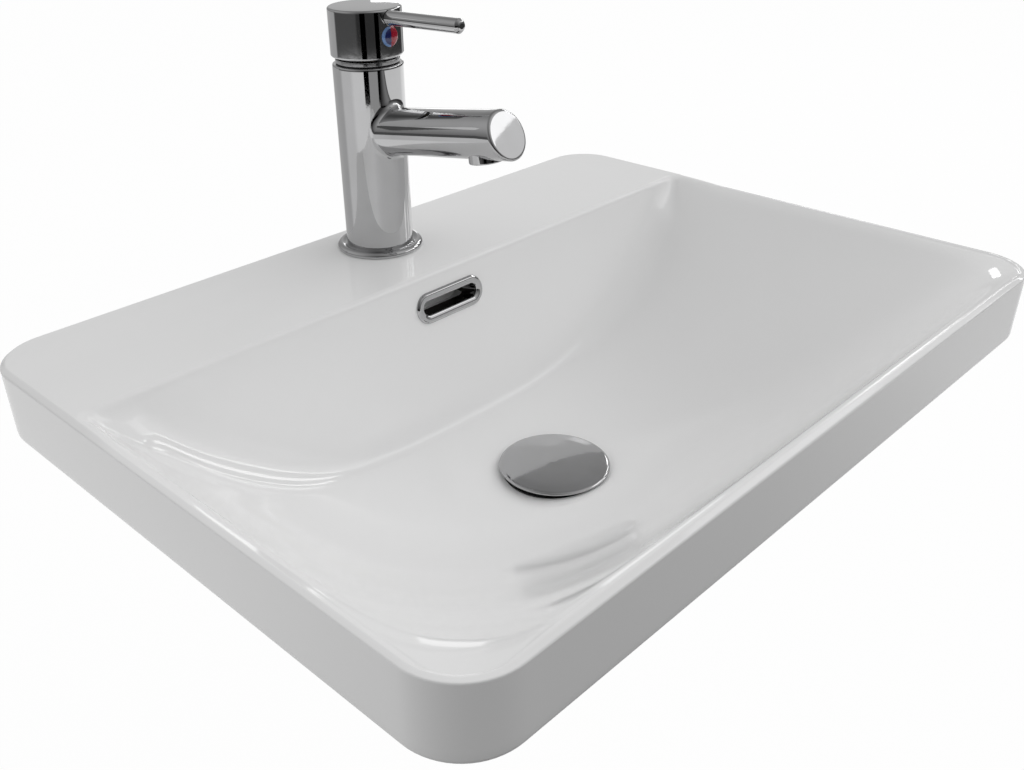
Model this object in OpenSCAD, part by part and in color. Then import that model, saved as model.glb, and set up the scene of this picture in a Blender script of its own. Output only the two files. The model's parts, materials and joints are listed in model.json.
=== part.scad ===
// Inset basin with a single-lever mixer and a click waste.
// The worktop plane is z = 0, the tap stands at the back (+Y) and X = 0 is the plane of symmetry.

/* [Basin] */
// Width over the skirt, side to side
basin_w = 520; // [480:5:600]
// Depth over the skirt, front to back
basin_d = 380; // [370:5:440]
// Height of the skirt above the worktop
skirt_h = 45.5; // [40:0.5:60]
// Radius of the four upright corners
corner_r = 33; // [28:1:45]
// Radius of the skirt's top edge
lip_r = 2.5; // [2:0.5:6]
// Width of the lip before the bowl falls away
lip_w = 6; // [6:0.5:9]
// Width of the foot that stands on the worktop
foot_w = 18; // [14:1:20]
// Thickness of the ceramic
ceramic_t = 12; // [9:0.5:13]

/* [Bowl] */
// Depth of the bowl at the waste, below the lip
bowl_depth = 113; // [95:1:125]
// How squarely the sides turn up: 2 is a parabola
side_power = 3.05; // [2:0.05:4]
// How squarely the front turns up: 2 is a parabola
front_power = 2.2; // [2:0.05:2.6]
// Length over which the floor would climb out at the back
back_run = 223; // [200:1:260]
// Depth of the flat deck behind the bowl
deck_d = 103; // [98:1:115]
// Lean of the back wall from upright, in degrees
wall_lean = 13.2; // [8:0.2:18]

/* [Overflow] */
// Depth of the overflow slot's middle below the lip
overflow_drop = 20.8; // [18:0.2:28]
// Length of the slot in the ring
slot_l = 47; // [36:1:50]
// Height of the slot in the ring
slot_h = 8.6; // [6:0.2:10]
// Width of the ring's rim round the slot
ring_rim = 5.8; // [4:0.2:8]
// How far the ring stands off the wall
ring_proud = 2; // [1:0.5:3]
// Thickness of the ring's sleeve
sleeve_t = 1.8; // [1:0.1:2.5]
// Front-to-back gap inside the overflow duct
duct_gap = 11; // [8:0.5:12]
// Thickness of the duct's outer wall
duct_t = 8; // [6:0.5:9]

/* [Tap column] */
// Distance of the tap hole from the back edge
tap_setback = 41; // [40:1:46]
// Diameter of the tap hole
tap_hole_d = 35; // [34:0.5:36]
// Diameter of the column
column_d = 44.4; // [43.6:0.2:44.8]
// Height of the column above the deck
column_h = 119.6; // [119:0.1:120]
// Diameter of the base ring
base_d = 57.4; // [54:0.2:60]
// Height of the base ring
base_h = 4; // [3.5:0.5:6]
// Thickness of the ledge that the column stands on
ledge_t = 1.5; // [1:0.25:2]
// Diameter of the stub that centres the tap in its hole
stub_d = 33.6; // [32:0.2:33.8]
// Depth of the stub below the deck's surface
stub_l = 8; // [6:0.5:10]

/* [Spout] */
// Diameter of the spout
spout_d = 28.6; // [27:0.2:30]
// Height at which the spout's axis meets the column's axis, above the deck
spout_h = 76.9; // [74:0.1:77]
// Rise of the spout, in degrees
spout_rise = 8.9; // [5:0.1:10]
// Length of the spout from the column's axis to the middle of its end face
spout_l = 120.3; // [116:0.1:130]
// Lean of the end face from upright, in degrees
end_lean = 27; // [14:0.1:29]
// Wall of the spout
spout_wall = 5.3; // [4:0.1:6]
// Distance of the outlet from the column's axis, along the spout
outlet_l = 100.6; // [97:0.1:103]
// Diameter of the aerator
aerator_d = 20.8; // [20:0.2:23]
// How far the aerator stands out under the spout
aerator_out = 1.4; // [1:0.1:3]
// How deep the aerator is screwed in
aerator_in = 9; // [8:0.5:9.5]

/* [Handle] */
// Diameter of the handle
handle_d = 45.4; // [45.2:0.2:46.4]
// Height of the handle
handle_h = 29.1; // [28.5:0.1:32]
// Gap between column and handle
handle_gap = 4.5; // [4.3:0.1:4.8]
// Wall of the handle's hollow underside
handle_wall = 2.6; // [2.2:0.1:2.6]
// Diameter of the pin lever
lever_d = 8.5; // [7:0.1:9]
// Reach of the lever's tip from the column's axis
lever_reach = 84; // [70:1:100]
// Distance of the lever's axis below the handle's top, where the two meet
lever_drop = 5.4; // [5:0.1:6]
// Rise of the lever, in degrees
lever_rise = 1.9; // [0:0.1:3]
// Diameter of the round indicator
button_d = 12; // [10:0.5:13]
// Height of the indicator's middle above the handle's lower edge
button_h = 13.1; // [12:0.1:13.5]

/* [Cartridge] */
// Diameter of the cartridge's body
cart_d = 35; // [34.8:0.1:35]
// Height of the cartridge's seat above the deck
cart_seat = 84.1; // [83.8:0.1:84.2]
// Height of the cartridge's body
cart_h = 22; // [22:0.1:22.4]
// Height of the pivot above the deck
pivot_h = 110.6; // [110.4:0.1:110.7]
// Side of the square stem
stem_w = 8; // [7.6:0.1:8.2]
// Diameter of the pivot pin
pin_d = 3; // [2.6:0.1:3.4]
// Distance of each inlet from the plane of symmetry
inlet_x = 8.5; // [8:0.1:9]
// Diameter of the inlet threads
inlet_d = 9; // [8.5:0.1:9.4]
// Length of the inlet threads
inlet_l = 14; // [10:1:16]
// Diameter of the fixing stud
stud_d = 8; // [6:0.5:8]
// Length of the fixing stud below the deck
stud_l = 60; // [50:1:75]

/* [Waste] */
// Distance from the basin's middle to the waste, towards the front
waste_forward = 10; // [0:1:20]
// Diameter of the hole through the ceramic
waste_hole_d = 46; // [45:0.5:48]
// Diameter of the waste's flange
flange_d = 65; // [62:0.5:66]
// Thickness of the flange
flange_t = 3; // [2:0.5:4]
// Outside diameter of the waste tube and its thread
tube_d = 41.9; // [41.6:0.1:42.2]
// Length of the waste tube below the bowl's floor
tube_l = 92; // [85:1:110]
// Wall of the waste tube
tube_wall = 2; // [1.5:0.1:2.4]
// Thickness of the ceramic boss that the backnut pulls on
boss_h = 45; // [42:1:50]
// Diameter of the cap
cap_d = 71; // [68:0.5:72]
// Thickness of the cap's edge
cap_t = 2; // [1.5:0.1:3]
// Rise of the cap's crown above its edge
cap_crown = 2.2; // [1:0.1:4]
// Height of the cap's underside above the bowl's floor when shut
cap_lift = 4.1; // [4:0.1:5]
// How far the cap rises when it clicks open
click_travel = 9; // [6:0.5:9]
// Diameter of the plunger
plunger_d = 6; // [5:0.2:6.4]

/* [Hidden] */
$fn = 96;

// Clearances, each between two radii or two faces
thread_gap = 0.1;
run_gap = 0.08;
slip_gap = 0.15;
lift_gap = 0.3;
press_gap = 0.02;
// Overlap of two shapes that are cut or joined, and a length beyond every part
eps = 0.5;
far = 2 * basin_w;

// Basin
rim_z = skirt_h;
wall_y = basin_d / 2 - deck_d;
waste_y = -waste_forward;
floor_z = rim_z - bowl_depth;
side_run = basin_w / 2 - lip_w;
front_run = basin_d / 2 - lip_w + waste_y;
shell_inset = foot_w / 2;
back_power = 2;
bowl_rings = 15;
shell_rings = 9;
floor_pitch = atan((wall_foot_z() - floor_z) / (wall_foot_y() - waste_y));

// Overflow
ring_l = slot_l + 2 * ring_rim;
ring_h = slot_h + 2 * ring_rim;
sleeve_l = slot_l + 2 * sleeve_t;
sleeve_h = slot_h + 2 * sleeve_t;
duct_side = 2;
duct_w = sleeve_l + 2 * duct_side;
waste_duct_w = waste_hole_d - 4 * duct_side;
duct_depth = ceramic_t + duct_gap + duct_t;

// Tap
tap_y = basin_d / 2 - tap_setback;
aerator_seat = spout_d / 2 - aerator_in;
aerator_low = -spout_d / 2 - aerator_out;
aerator_wall = 1.5;
aerator_lip = 2.5;
aerator_floor = 1.5;
aerator_bevel = 0.6;
washer_h = 2;
aerator_h = aerator_in + aerator_out - washer_h;
jet_d = 1.9;
jet_pitch = 3;
edge_bevel = 1;
ring_w = (base_d - column_d) / 2;
ring_bevel = 0.23 * ring_w;
groove_w = 0.155 * ring_w;
feed_d = 10;
feed_drop = 3;
bore_start = column_d / 2 + 2;
bore_end = spout_l - spout_wall - 4;

// Cartridge
port_d = 6.4;
body_port_d = 6;
port_y = 2;
outlet_y = -11;
port_places = [[-inlet_x, port_y], [inlet_x, port_y], [0, outlet_y]];
seal_w = 3.4;
seal_h = 2;
stud_y = 11;
neck_d = 23;
neck_h = 10;
nut_d = cart_d + 4;
nut_hex = nut_d - 8;
nut_thread_h = 7.3;
nut_bore = neck_d + 1;
base_plate_t = 4;
cart_bore = 28.4;
cart_top_t = 2.5;
spindle_d = 18.4;
disc_t = 4;
disc_h = base_plate_t + disc_t;
disc_shift = 2;
moving_t = 3.5;
moving_d = 20.6;
pocket_d = 11.6;
driver_t = 3.5;
driver_l = 12;
hub_top = cart_h - cart_top_t - disc_h - lift_gap;
hub_roof = 2.8;
hub_wall = 1.5;
window_l = 22;
stem_end_d = 5.8;
stem_arm = 9.5;
tongue_w = 3.6;
pivot_z = pivot_h - cart_seat - disc_h;
stem_low = pivot_z - stem_arm - stem_end_d / 2;

// Handle
handle_z = column_h + handle_gap;
handle_top = handle_z + handle_h;
roof_t = 2.45;
handle_roof = handle_h - lever_drop - lever_d / 2 - roof_t;
socket_over = 1;
stem_top = handle_z + handle_roof + socket_over - pivot_h;
boss_d = 18;
boss_gap = 7.1;
screw_d = 5;
screw_l = 8;
key_d = 3.2;
key_depth = 3;
button_sunk = 1.2;
button_l = 6;
lever_foot = 1.1;
spigot_d = 6;
spigot_l = 10;
tip_bevel = [1.5, 2.2];
lever_len = lever_reach - handle_d / 2 + lever_foot;

// Fixing under the deck
gasket_d = 44;
gasket_t = 3;
washer_t = 2;
horseshoe_slot = 27;
hose_room_d = 12;
fixing_nut_d = 15;
fixing_nut_h = 7;

// Waste
recess_t = 3.5;
seal_t = recess_t - flange_t + 0.5;
flange_z = seal_t - recess_t;
flange_top = flange_z + flange_t;
throat_d = 50;
shoulder_h = 2;
port_w = 14;
port_low = -27;
port_h = 15;
tail_l = 25;
relief_h = 1.5;
hub_d = 16;
arm_t = 3;
cross_z = -40;
cross_h = 6;
cone_t = 6;
cone_out = 6;
slip_t = 2;
backnut_z = -boss_h - cone_t - slip_t;
backnut_h = 12;
backnut_d = tube_d + 18;
nut_face_t = 2.5;

// Click mechanism
guide_d = 15;
guide_thread_d = 10;
guide_top = -5;
guide_roof = 2;
guide_bore = 11.2;
guide_low = cross_z + cross_h;
collar_d = 10.6;
collar_t = 2.8;
collar_z = guide_top - guide_roof - click_travel - collar_t;
plunger_tail = 8;
plunger_sunk = 0.6;
spring_seat = 1.5;
spring_low = guide_low + spring_seat;
spring_l = collar_z - spring_low;
spring_wire = 1;
spring_play = 0.05;
spring_turns = 7;
spring_d = 8.8;
spring_sides = 6;
spring_steps = 16;
spring_rise = (spring_l - spring_wire - 2 * spring_play) / spring_turns;
crown_r = (pow(cap_d / 2, 2) + pow(cap_crown, 2)) / (2 * cap_crown);
plug_d = throat_d + 2;
plug_h = 3;
cap_hub_low = guide_top + 2;

// How far the bowl has fallen at a point, from 0 at the lip to 1 at the waste.
// The grown copy of the same surface is the bowl's underside.
function along(y, grow) =
    y < waste_y ? (waste_y - y) / (front_run + grow) : (y - waste_y) / (back_run + grow);
function fall(x, y, grow) =
    max(0, 1 - pow(min(1, abs(x) / (side_run + grow)), side_power))
    * max(0, 1 - pow(min(1, along(y, grow)), y < waste_y ? front_power : back_power));
function bowl_z(x, y, grow = 0) = rim_z - (bowl_depth + grow) * fall(x, y, grow);

// Where the back wall meets the floor, found by stepping the wall's plane down to the bowl.
function wall_at(z) = wall_y - tan(wall_lean) * (rim_z - z);
function settle(z, n) = n == 0 ? z : settle(bowl_z(0, wall_at(z)), n - 1);
function wall_foot_z() = settle(floor_z, 6);
function wall_foot_y() = wall_at(wall_foot_z());

// Plan outline of a rectangle with round corners, anticlockwise from above.
function arc_points(c, r, start, n) =
    [for (i = [0:n]) let (a = start + 90 * i / n) c + r * [cos(a), sin(a)]];
function between(p, q, n) = [for (i = [1:n - 1]) p + (q - p) * i / n];
function plan_outline(hx, hy, r, arc_n, long_n, short_n) =
    let (a = arc_points([hx - r, hy - r], r, 0, arc_n))
    let (b = arc_points([r - hx, hy - r], r, 90, arc_n))
    let (c = arc_points([r - hx, r - hy], r, 180, arc_n))
    let (d = arc_points([hx - r, r - hy], r, 270, arc_n))
    concat(
        a, between(a[arc_n], b[0], long_n), b, between(b[arc_n], c[0], short_n),
        c, between(c[arc_n], d[0], long_n), d, between(d[arc_n], a[0], short_n)
    );

// Solid between the bowl's surface and a flat top. Its rings crowd towards the rim.
module bowl_solid(grow, inset, top, rings, arc_n, long_n, short_n) {
    edge = plan_outline(basin_w / 2 - inset, basin_d / 2 - inset, corner_r - inset, arc_n, long_n, short_n);
    n = len(edge);
    middle = [0, waste_y];
    plan = [for (i = [1:rings]) let (s = sin(90 * i / rings)) for (p = edge) middle + s * (p - middle)];
    points = concat(
        [[middle.x, middle.y, bowl_z(middle.x, middle.y, grow)]],
        [for (q = plan) [q.x, q.y, bowl_z(q.x, q.y, grow)]],
        [for (p = edge) [p.x, p.y, top]],
        [[middle.x, middle.y, top]]
    );
    last = 1 + (rings - 1) * n;
    crown = last + 2 * n;
    faces = concat(
        [for (j = [0:n - 1]) [0, 1 + j, 1 + (j + 1) % n]],
        [for (i = [0:rings - 2]) for (j = [0:n - 1])
            let (a = 1 + i * n + j, b = 1 + i * n + (j + 1) % n) [a, a + n, b + n]],
        [for (i = [0:rings - 2]) for (j = [0:n - 1])
            let (a = 1 + i * n + j, b = 1 + i * n + (j + 1) % n) [a, b + n, b]],
        [for (j = [0:n - 1]) let (k = (j + 1) % n) [last + j, last + n + j, last + n + k, last + k]],
        [for (j = [0:n - 1]) let (k = (j + 1) % n) [crown, last + n + k, last + n + j]]
    );
    polyhedron(points, faces);
}

// Everything in front of the back wall's plane, moved back by an offset square to the wall.
module before_wall(offset) {
    at_wall() translate([-far / 2, -far / 2, -offset]) cube([far, far, far]);
}

// At the top of the back wall: X along it, Y up it and Z out into the bowl.
module at_wall() {
    translate([0, wall_y, rim_z]) rotate([90 - wall_lean, 0, 0]) children();
}
module at_overflow() {
    at_wall() translate([0, -overflow_drop / cos(wall_lean), 0]) children();
}
module at_waste() {
    translate([0, waste_y, floor_z]) children();
}
module at_tap() {
    translate([0, tap_y, rim_z]) children();
}
// Along the spout from the column's axis: Z out along the spout, Y up across it.
module at_spout() {
    at_tap() translate([0, 0, spout_h]) rotate([90 - spout_rise, 0, 0]) children();
}
// Under the spout, at the outlet: Z up towards the spout's axis, which is at z = 0.
module at_outlet() {
    at_tap() translate([0, 0, spout_h]) rotate([-spout_rise, 0, 0]) translate([0, -outlet_l, 0]) children();
}
// On the lever's axis: Z out towards the tip, from the column's axis.
module at_lever() {
    at_tap() translate([0, 0, handle_top - lever_drop]) rotate([90, 0, 0])
        translate([0, 0, handle_d / 2]) rotate([-lever_rise, 0, 0]) children();
}
// On the indicator's axis: Z out through the handle's front.
module at_button() {
    at_tap() translate([0, 0, handle_z + button_h]) rotate([90, 0, 0]) children();
}

module rounded_rect(w, d, r) {
    square([w - 2 * r, d], center = true);
    square([w, d - 2 * r], center = true);
    for (x = [-1, 1]) for (y = [-1, 1])
        translate([x * (w / 2 - r), y * (d / 2 - r)]) circle(r);
}
module stadium(l, h) {
    square([l - h, h], center = true);
    for (x = [-1, 1]) translate([x * (l - h) / 2, 0]) circle(h / 2);
}
module ring(outer_d, inner_d, h) {
    difference() {
        cylinder(d = outer_d, h = h);
        translate([0, 0, -eps]) cylinder(d = inner_d, h = h + 2 * eps);
    }
}

// Section of the skirt's edge: a strip of one width whose outer top corner is round.
module edge_section(w, h, r) {
    difference() {
        square([w, h]);
        translate([w - r, h - r]) difference() {
            square(r + eps);
            circle(r);
        }
    }
}
// Block with round upright corners and a round top edge, from tiles that meet face to face.
module skirt_block(w, d, h, r, edge) {
    half = [w / 2 - r, d / 2 - r];
    translate([-half.x, -half.y, 0]) cube([2 * half.x, 2 * half.y, h]);
    for (a = [0, 180]) rotate(a) {
        translate([half.x, half.y, 0]) rotate([90, 0, 0])
            linear_extrude(2 * half.y) edge_section(r, h, edge);
        rotate(90) translate([half.y, half.x, 0]) rotate([90, 0, 0])
            linear_extrude(2 * half.x) edge_section(r, h, edge);
        translate([half.x, half.y, 0]) rotate_extrude(angle = 90) edge_section(r, h, edge);
        translate([half.x, -half.y, 0]) rotate(-90) rotate_extrude(angle = 90) edge_section(r, h, edge);
    }
}

module basin_outside() {
    difference() {
        skirt_block(basin_w, basin_d, skirt_h, corner_r, lip_r);
        translate([0, 0, -eps]) linear_extrude(skirt_h - ceramic_t + eps)
            rounded_rect(basin_w - 2 * foot_w, basin_d - 2 * foot_w, corner_r - foot_w);
    }
    intersection() {
        bowl_solid(ceramic_t, shell_inset, rim_z - 1, shell_rings, 4, 12, 8);
        before_wall(ceramic_t);
    }
    at_waste() translate([0, 0, -boss_h])
        cylinder(d = waste_hole_d + 2 * ceramic_t, h = boss_h - ceramic_t / 2);
    at_wall() translate([-duct_w / 2 - duct_t, -duct_foot(), -duct_depth])
        cube([duct_w + 2 * duct_t, duct_foot() - ceramic_t / 2, duct_depth - ceramic_t / 2]);
    at_waste() rotate([floor_pitch, 0, 0])
        translate([-waste_duct_w / 2 - duct_t, waste_hole_d / 2, -duct_depth])
            cube([
                waste_duct_w + 2 * duct_t,
                duct_reach() - waste_hole_d / 2 + duct_t,
                duct_depth - ceramic_t / 2
            ]);
}
// How far the duct runs down the wall and back under the floor.
function duct_foot() = (rim_z - wall_foot_z() + ceramic_t + duct_gap) / cos(wall_lean);
function duct_reach() = wall_foot_y() - waste_y + ceramic_t;

module duct_hollow() {
    at_wall() translate([-duct_w / 2, -duct_foot() + duct_t / 2, -ceramic_t - duct_gap])
        cube([duct_w, duct_foot() - duct_t / 2 - ceramic_t - 2, duct_gap]);
    at_waste() rotate([floor_pitch, 0, 0]) translate([-waste_duct_w / 2, 0, -ceramic_t - duct_gap - 1])
        cube([waste_duct_w, duct_reach(), duct_gap]);
}

module basin() color("white") difference() {
    basin_outside();
    intersection() {
        bowl_solid(0, lip_w, rim_z + 2 * lip_r, bowl_rings, 6, 18, 12);
        before_wall(0);
    }
    duct_hollow();
    at_overflow() translate([0, 0, -ceramic_t - 1]) linear_extrude(ceramic_t + 2)
        stadium(sleeve_l + 2 * slip_gap, sleeve_h + 2 * slip_gap);
    at_tap() translate([0, 0, -ceramic_t - 1]) cylinder(d = tap_hole_d, h = ceramic_t + 2);
    at_waste() translate([0, 0, -boss_h - 1]) cylinder(d = waste_hole_d, h = boss_h + 10);
    at_waste() translate([0, 0, -recess_t]) cylinder(d = flange_d + 2, h = recess_t + 10);
}

module overflow_ring() color("silver") at_overflow() difference() {
    union() {
        linear_extrude(ring_proud) stadium(ring_l, ring_h);
        translate([0, 0, -ceramic_t]) linear_extrude(ceramic_t + ring_proud / 2) stadium(sleeve_l, sleeve_h);
    }
    translate([0, 0, -ceramic_t - 1]) linear_extrude(ceramic_t + ring_proud + 2) stadium(slot_l, slot_h);
}

// Spout with its leaning end face, still solid.
module spout_form() {
    intersection() {
        at_spout() cylinder(d = spout_d, h = spout_l + spout_d);
        at_spout() translate([0, 0, spout_l]) rotate([spout_rise - end_lean, 0, 0])
            translate([-spout_d, -spout_d, -2 * spout_l]) cube([2 * spout_d, 2 * spout_d, 2 * spout_l]);
    }
}
module column_form() {
    at_tap() rotate_extrude() polygon([
        [0, -stub_l], [stub_d / 2, -stub_l], [stub_d / 2, ledge_t], [column_d / 2, ledge_t],
        [column_d / 2, column_h - edge_bevel], [column_d / 2 - edge_bevel, column_h], [0, column_h]
    ]);
}
module tap_body() color("silver") difference() {
    union() {
        column_form();
        spout_form();
    }
    at_tap() translate([0, 0, cart_seat]) cylinder(d = cart_d + 2 * slip_gap, h = column_h);
    at_tap() translate([0, 0, cart_seat + cart_h]) cylinder(d = nut_d + 2 * thread_gap, h = column_h);
    at_tap() for (x = [-inlet_x, inlet_x]) {
        translate([x, port_y, 0]) cylinder(d = port_d, h = cart_seat + 1);
        translate([x, port_y, -stub_l - 1]) cylinder(d = inlet_d, h = inlet_l + 1);
    }
    at_tap() translate([0, outlet_y, spout_h - feed_drop])
        cylinder(d = port_d, h = cart_seat + eps - spout_h + feed_drop);
    at_tap() translate([0, stud_y, -stub_l - 1]) cylinder(d = stud_d + 2 * thread_gap, h = inlet_l + 1);
    at_spout() translate([0, -feed_drop, -outlet_y - feed_d / 4]) cylinder(d = feed_d, h = column_d / 2);
    at_spout() translate([0, 0, bore_start])
        cylinder(d = spout_d - 2 * spout_wall, h = bore_end - bore_start);
    at_outlet() translate([0, 0, -spout_d])
        cylinder(d = aerator_d + 2 * thread_gap, h = spout_d - aerator_seat);
}

module base_ring() color("silver") at_tap() difference() {
    rotate_extrude() polygon([
        [stub_d / 2 + 2 * slip_gap, 0], [base_d / 2, 0], [base_d / 2, base_h - ring_bevel],
        [base_d / 2 - ring_bevel, base_h - ring_bevel / 3], [column_d / 2 + ring_bevel, base_h],
        [column_d / 2 + run_gap, base_h], [column_d / 2 + run_gap, ledge_t],
        [stub_d / 2 + 2 * slip_gap, ledge_t]
    ]);
    translate([0, 0, -eps]) ring(base_d - 2 * ring_bevel, column_d + 2 * groove_w, ledge_t + eps);
}
module base_gasket() color("dimgray") at_tap()
    ring(base_d - 2 * (ring_bevel + slip_gap), column_d + 2 * (groove_w + slip_gap), ledge_t);

module aerator_housing() color("silver") at_outlet() difference() {
    translate([0, 0, aerator_low]) union() {
        cylinder(d1 = aerator_d - 2 * aerator_bevel, d2 = aerator_d, h = aerator_bevel);
        translate([0, 0, aerator_bevel]) cylinder(d = aerator_d, h = aerator_h - aerator_bevel);
    }
    translate([0, 0, aerator_low - eps]) cylinder(d = aerator_d - 2 * aerator_lip, h = aerator_h + 2 * eps);
    translate([0, 0, aerator_low + aerator_floor]) cylinder(d = aerator_d - 2 * aerator_wall, h = aerator_h);
}
module aerator_insert() color("whitesmoke") at_outlet() difference() {
    translate([0, 0, aerator_low + aerator_floor])
        cylinder(d = aerator_d - 2 * (aerator_wall + slip_gap), h = aerator_h - aerator_floor);
    for (k = [0:2]) for (i = [0:max(0, 6 * k - 1)])
        rotate(k == 0 ? 0 : 60 * i / k) translate([k * jet_pitch, 0, -spout_d])
            cylinder(d = jet_d, h = 2 * spout_d);
}
module aerator_washer() color("dimgray") at_outlet() translate([0, 0, aerator_low + aerator_h])
    ring(aerator_d - 2 * thread_gap, aerator_d - 2 * aerator_lip - washer_h, washer_h);

// On the cartridge's seat, and on top of its fixed disc.
module at_cartridge() {
    at_tap() translate([0, 0, cart_seat]) children();
}
module at_disc() {
    at_cartridge() translate([0, 0, disc_h]) children();
}
module at_pivot() {
    at_disc() translate([0, 0, pivot_z]) children();
}
module ports(h) {
    for (p = port_places) translate([p.x, p.y, -eps]) cylinder(d = body_port_d, h = h);
}

module cartridge_seals() color("black") at_cartridge()
    for (p = port_places) translate([p.x, p.y, 0]) ring(port_d + seal_w, port_d, seal_h);
module cartridge_body() color("lightgray") at_cartridge() difference() {
    union() {
        cylinder(d = cart_d, h = cart_h);
        cylinder(d = neck_d, h = cart_h + neck_h);
    }
    translate([0, 0, base_plate_t]) cylinder(d = cart_bore, h = cart_h - cart_top_t - base_plate_t);
    translate([0, 0, base_plate_t]) cylinder(d = spindle_d + 2 * run_gap, h = cart_h + neck_h);
    ports(base_plate_t + 2 * eps);
    for (p = port_places) translate([p.x, p.y, -eps])
        cylinder(d = port_d + seal_w + thread_gap, h = seal_h + eps);
}
module fixed_disc() color("ivory") at_cartridge() translate([0, 0, base_plate_t]) difference() {
    cylinder(d = cart_bore - 2 * run_gap, h = disc_t);
    ports(disc_t + 2 * eps);
}
module moving_disc() color("ivory") at_disc() translate([0, disc_shift, 0]) difference() {
    cylinder(d = moving_d, h = moving_t);
    translate([0, -disc_shift, -eps]) cylinder(d = pocket_d, h = moving_t / 2 + eps);
}
module disc_driver() color("lightgray") at_disc() difference() {
    union() {
        translate([0, disc_shift, moving_t]) cylinder(d = moving_d, h = driver_t);
        translate([-stem_w / 2 - eps, -driver_l / 2, moving_t])
            cube([stem_w + 2 * eps, driver_l, hub_top - moving_t]);
    }
    translate([-stem_w, -stem_end_d / 2 - slip_gap, stem_low - lift_gap])
        cube([2 * stem_w, stem_end_d + 2 * slip_gap, cart_h]);
}
module cartridge_carrier() color("gainsboro") at_disc() difference() {
    union() {
        cylinder(d = cart_bore - 2 * run_gap, h = hub_top);
        cylinder(d = spindle_d, h = hub_top + lift_gap + cart_top_t + neck_h);
    }
    translate([0, 0, -eps]) cylinder(d = cart_bore - 2 * hub_wall, h = hub_top - hub_roof + eps);
    translate([-stem_w / 2 - hub_wall / 2, -window_l / 2, -eps])
        cube([stem_w + hub_wall, window_l, hub_top + eps]);
    translate([-stem_w / 2 - slip_gap, -window_l / 2, -eps])
        cube([stem_w + 2 * slip_gap, window_l, 2 * cart_h]);
    translate([-far / 2, 0, pivot_z]) rotate([0, 90, 0]) cylinder(d = pin_d + 2 * press_gap, h = far);
}
module pivot_pin() color("silver") at_pivot() rotate([0, 90, 0])
    translate([0, 0, slip_gap - spindle_d / 2]) cylinder(d = pin_d, h = spindle_d - 2 * slip_gap);

module lever_stem() color("goldenrod") at_pivot() difference() {
    union() {
        translate([-stem_w / 2, -stem_w / 2, -stem_arm / 2]) cube([stem_w, stem_w, stem_top + stem_arm / 2]);
        translate([-stem_w / 2, -tongue_w / 2, -stem_arm]) cube([stem_w, tongue_w, stem_arm]);
        translate([-stem_w / 2, 0, -stem_arm]) rotate([0, 90, 0]) cylinder(d = stem_end_d, h = stem_w);
    }
    translate([-stem_w, 0, 0]) rotate([0, 90, 0]) cylinder(d = pin_d + thread_gap, h = 2 * stem_w);
}
module cartridge_nut() color("goldenrod") at_cartridge() translate([0, 0, cart_h]) difference() {
    union() {
        cylinder(d = nut_d, h = nut_thread_h);
        cylinder(d = nut_hex, h = column_h - cart_seat - cart_h - 2 * eps, $fn = 6);
    }
    translate([0, 0, -eps]) cylinder(d = nut_bore, h = column_h);
}
module trim_ring() color("silver") at_tap() translate([0, 0, column_h]) rotate_extrude() polygon([
    [nut_d / 2 - 3.2, -3.5], [nut_d / 2 - 0.2, -3.5], [nut_d / 2 - 0.2, 0], [column_d / 2 - 0.9, 0],
    [column_d / 2 - 0.9, 1], [nut_d / 2 + 0.7, 1], [nut_d / 2 + 0.7, handle_gap - 1.5],
    [nut_d / 2 - 0.3, handle_gap - 0.7], [nut_d / 2 - 3.2, handle_gap - 0.7]
]);

module handle() color("silver") difference() {
    at_tap() translate([0, 0, handle_z]) union() {
        difference() {
            rotate_extrude() polygon([
                [0, 0], [handle_d / 2 - edge_bevel, 0], [handle_d / 2, edge_bevel],
                [handle_d / 2, handle_h - edge_bevel], [handle_d / 2 - edge_bevel, handle_h], [0, handle_h]
            ]);
            translate([0, 0, -eps]) cylinder(d = handle_d - 2 * handle_wall, h = handle_roof + eps);
        }
        translate([0, 0, boss_gap]) cylinder(d = boss_d, h = handle_roof + eps - boss_gap);
        intersection() {
            translate([0, 0, button_h]) rotate([90, 0, 0])
                cylinder(r = handle_roof - button_h + eps, h = handle_d / 2);
            cylinder(d = handle_d - handle_wall, h = handle_roof + eps);
        }
    }
    at_tap() translate([-stem_w / 2 - slip_gap / 2, -stem_w / 2 - slip_gap / 2, 0])
        cube([stem_w + slip_gap, stem_w + slip_gap, handle_z + handle_roof + socket_over + slip_gap]);
    at_button() cylinder(d = screw_d + thread_gap, h = handle_d);
    at_button() translate([0, 0, handle_d / 2 - button_sunk])
        cylinder(d = button_d + thread_gap, h = handle_d);
    at_lever() translate([0, 0, -lever_foot - spigot_l - eps])
        cylinder(d = spigot_d + thread_gap, h = handle_d);
    at_lever() translate([0, 0, -lever_foot]) cylinder(d = lever_d + thread_gap, h = handle_d);
}
module lever_rod() color("silver") at_lever() translate([0, 0, -lever_foot]) rotate_extrude() polygon([
    [0, -spigot_l], [spigot_d / 2, -spigot_l], [spigot_d / 2, 0], [lever_d / 2, 0],
    [lever_d / 2, lever_len - tip_bevel.y], [lever_d / 2 - tip_bevel.x, lever_len], [0, lever_len]
]);
module handle_screw() color("dimgray") at_button() translate([0, 0, stem_w / 2]) difference() {
    cylinder(d = screw_d, h = screw_l);
    translate([0, 0, screw_l - key_depth]) cylinder(d = key_d, h = screw_l, $fn = 6);
}
module indicator_button() color("firebrick") at_button() translate([0, 0, handle_d / 2])
    rotate_extrude() polygon([
        [0, -button_l], [screw_d / 2, -button_l], [screw_d / 2, -button_sunk], [button_d / 2, -button_sunk],
        [button_d / 2, 0.3], [button_d / 2 - 0.8, 0.8], [0, 1.2]
    ]);

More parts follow.
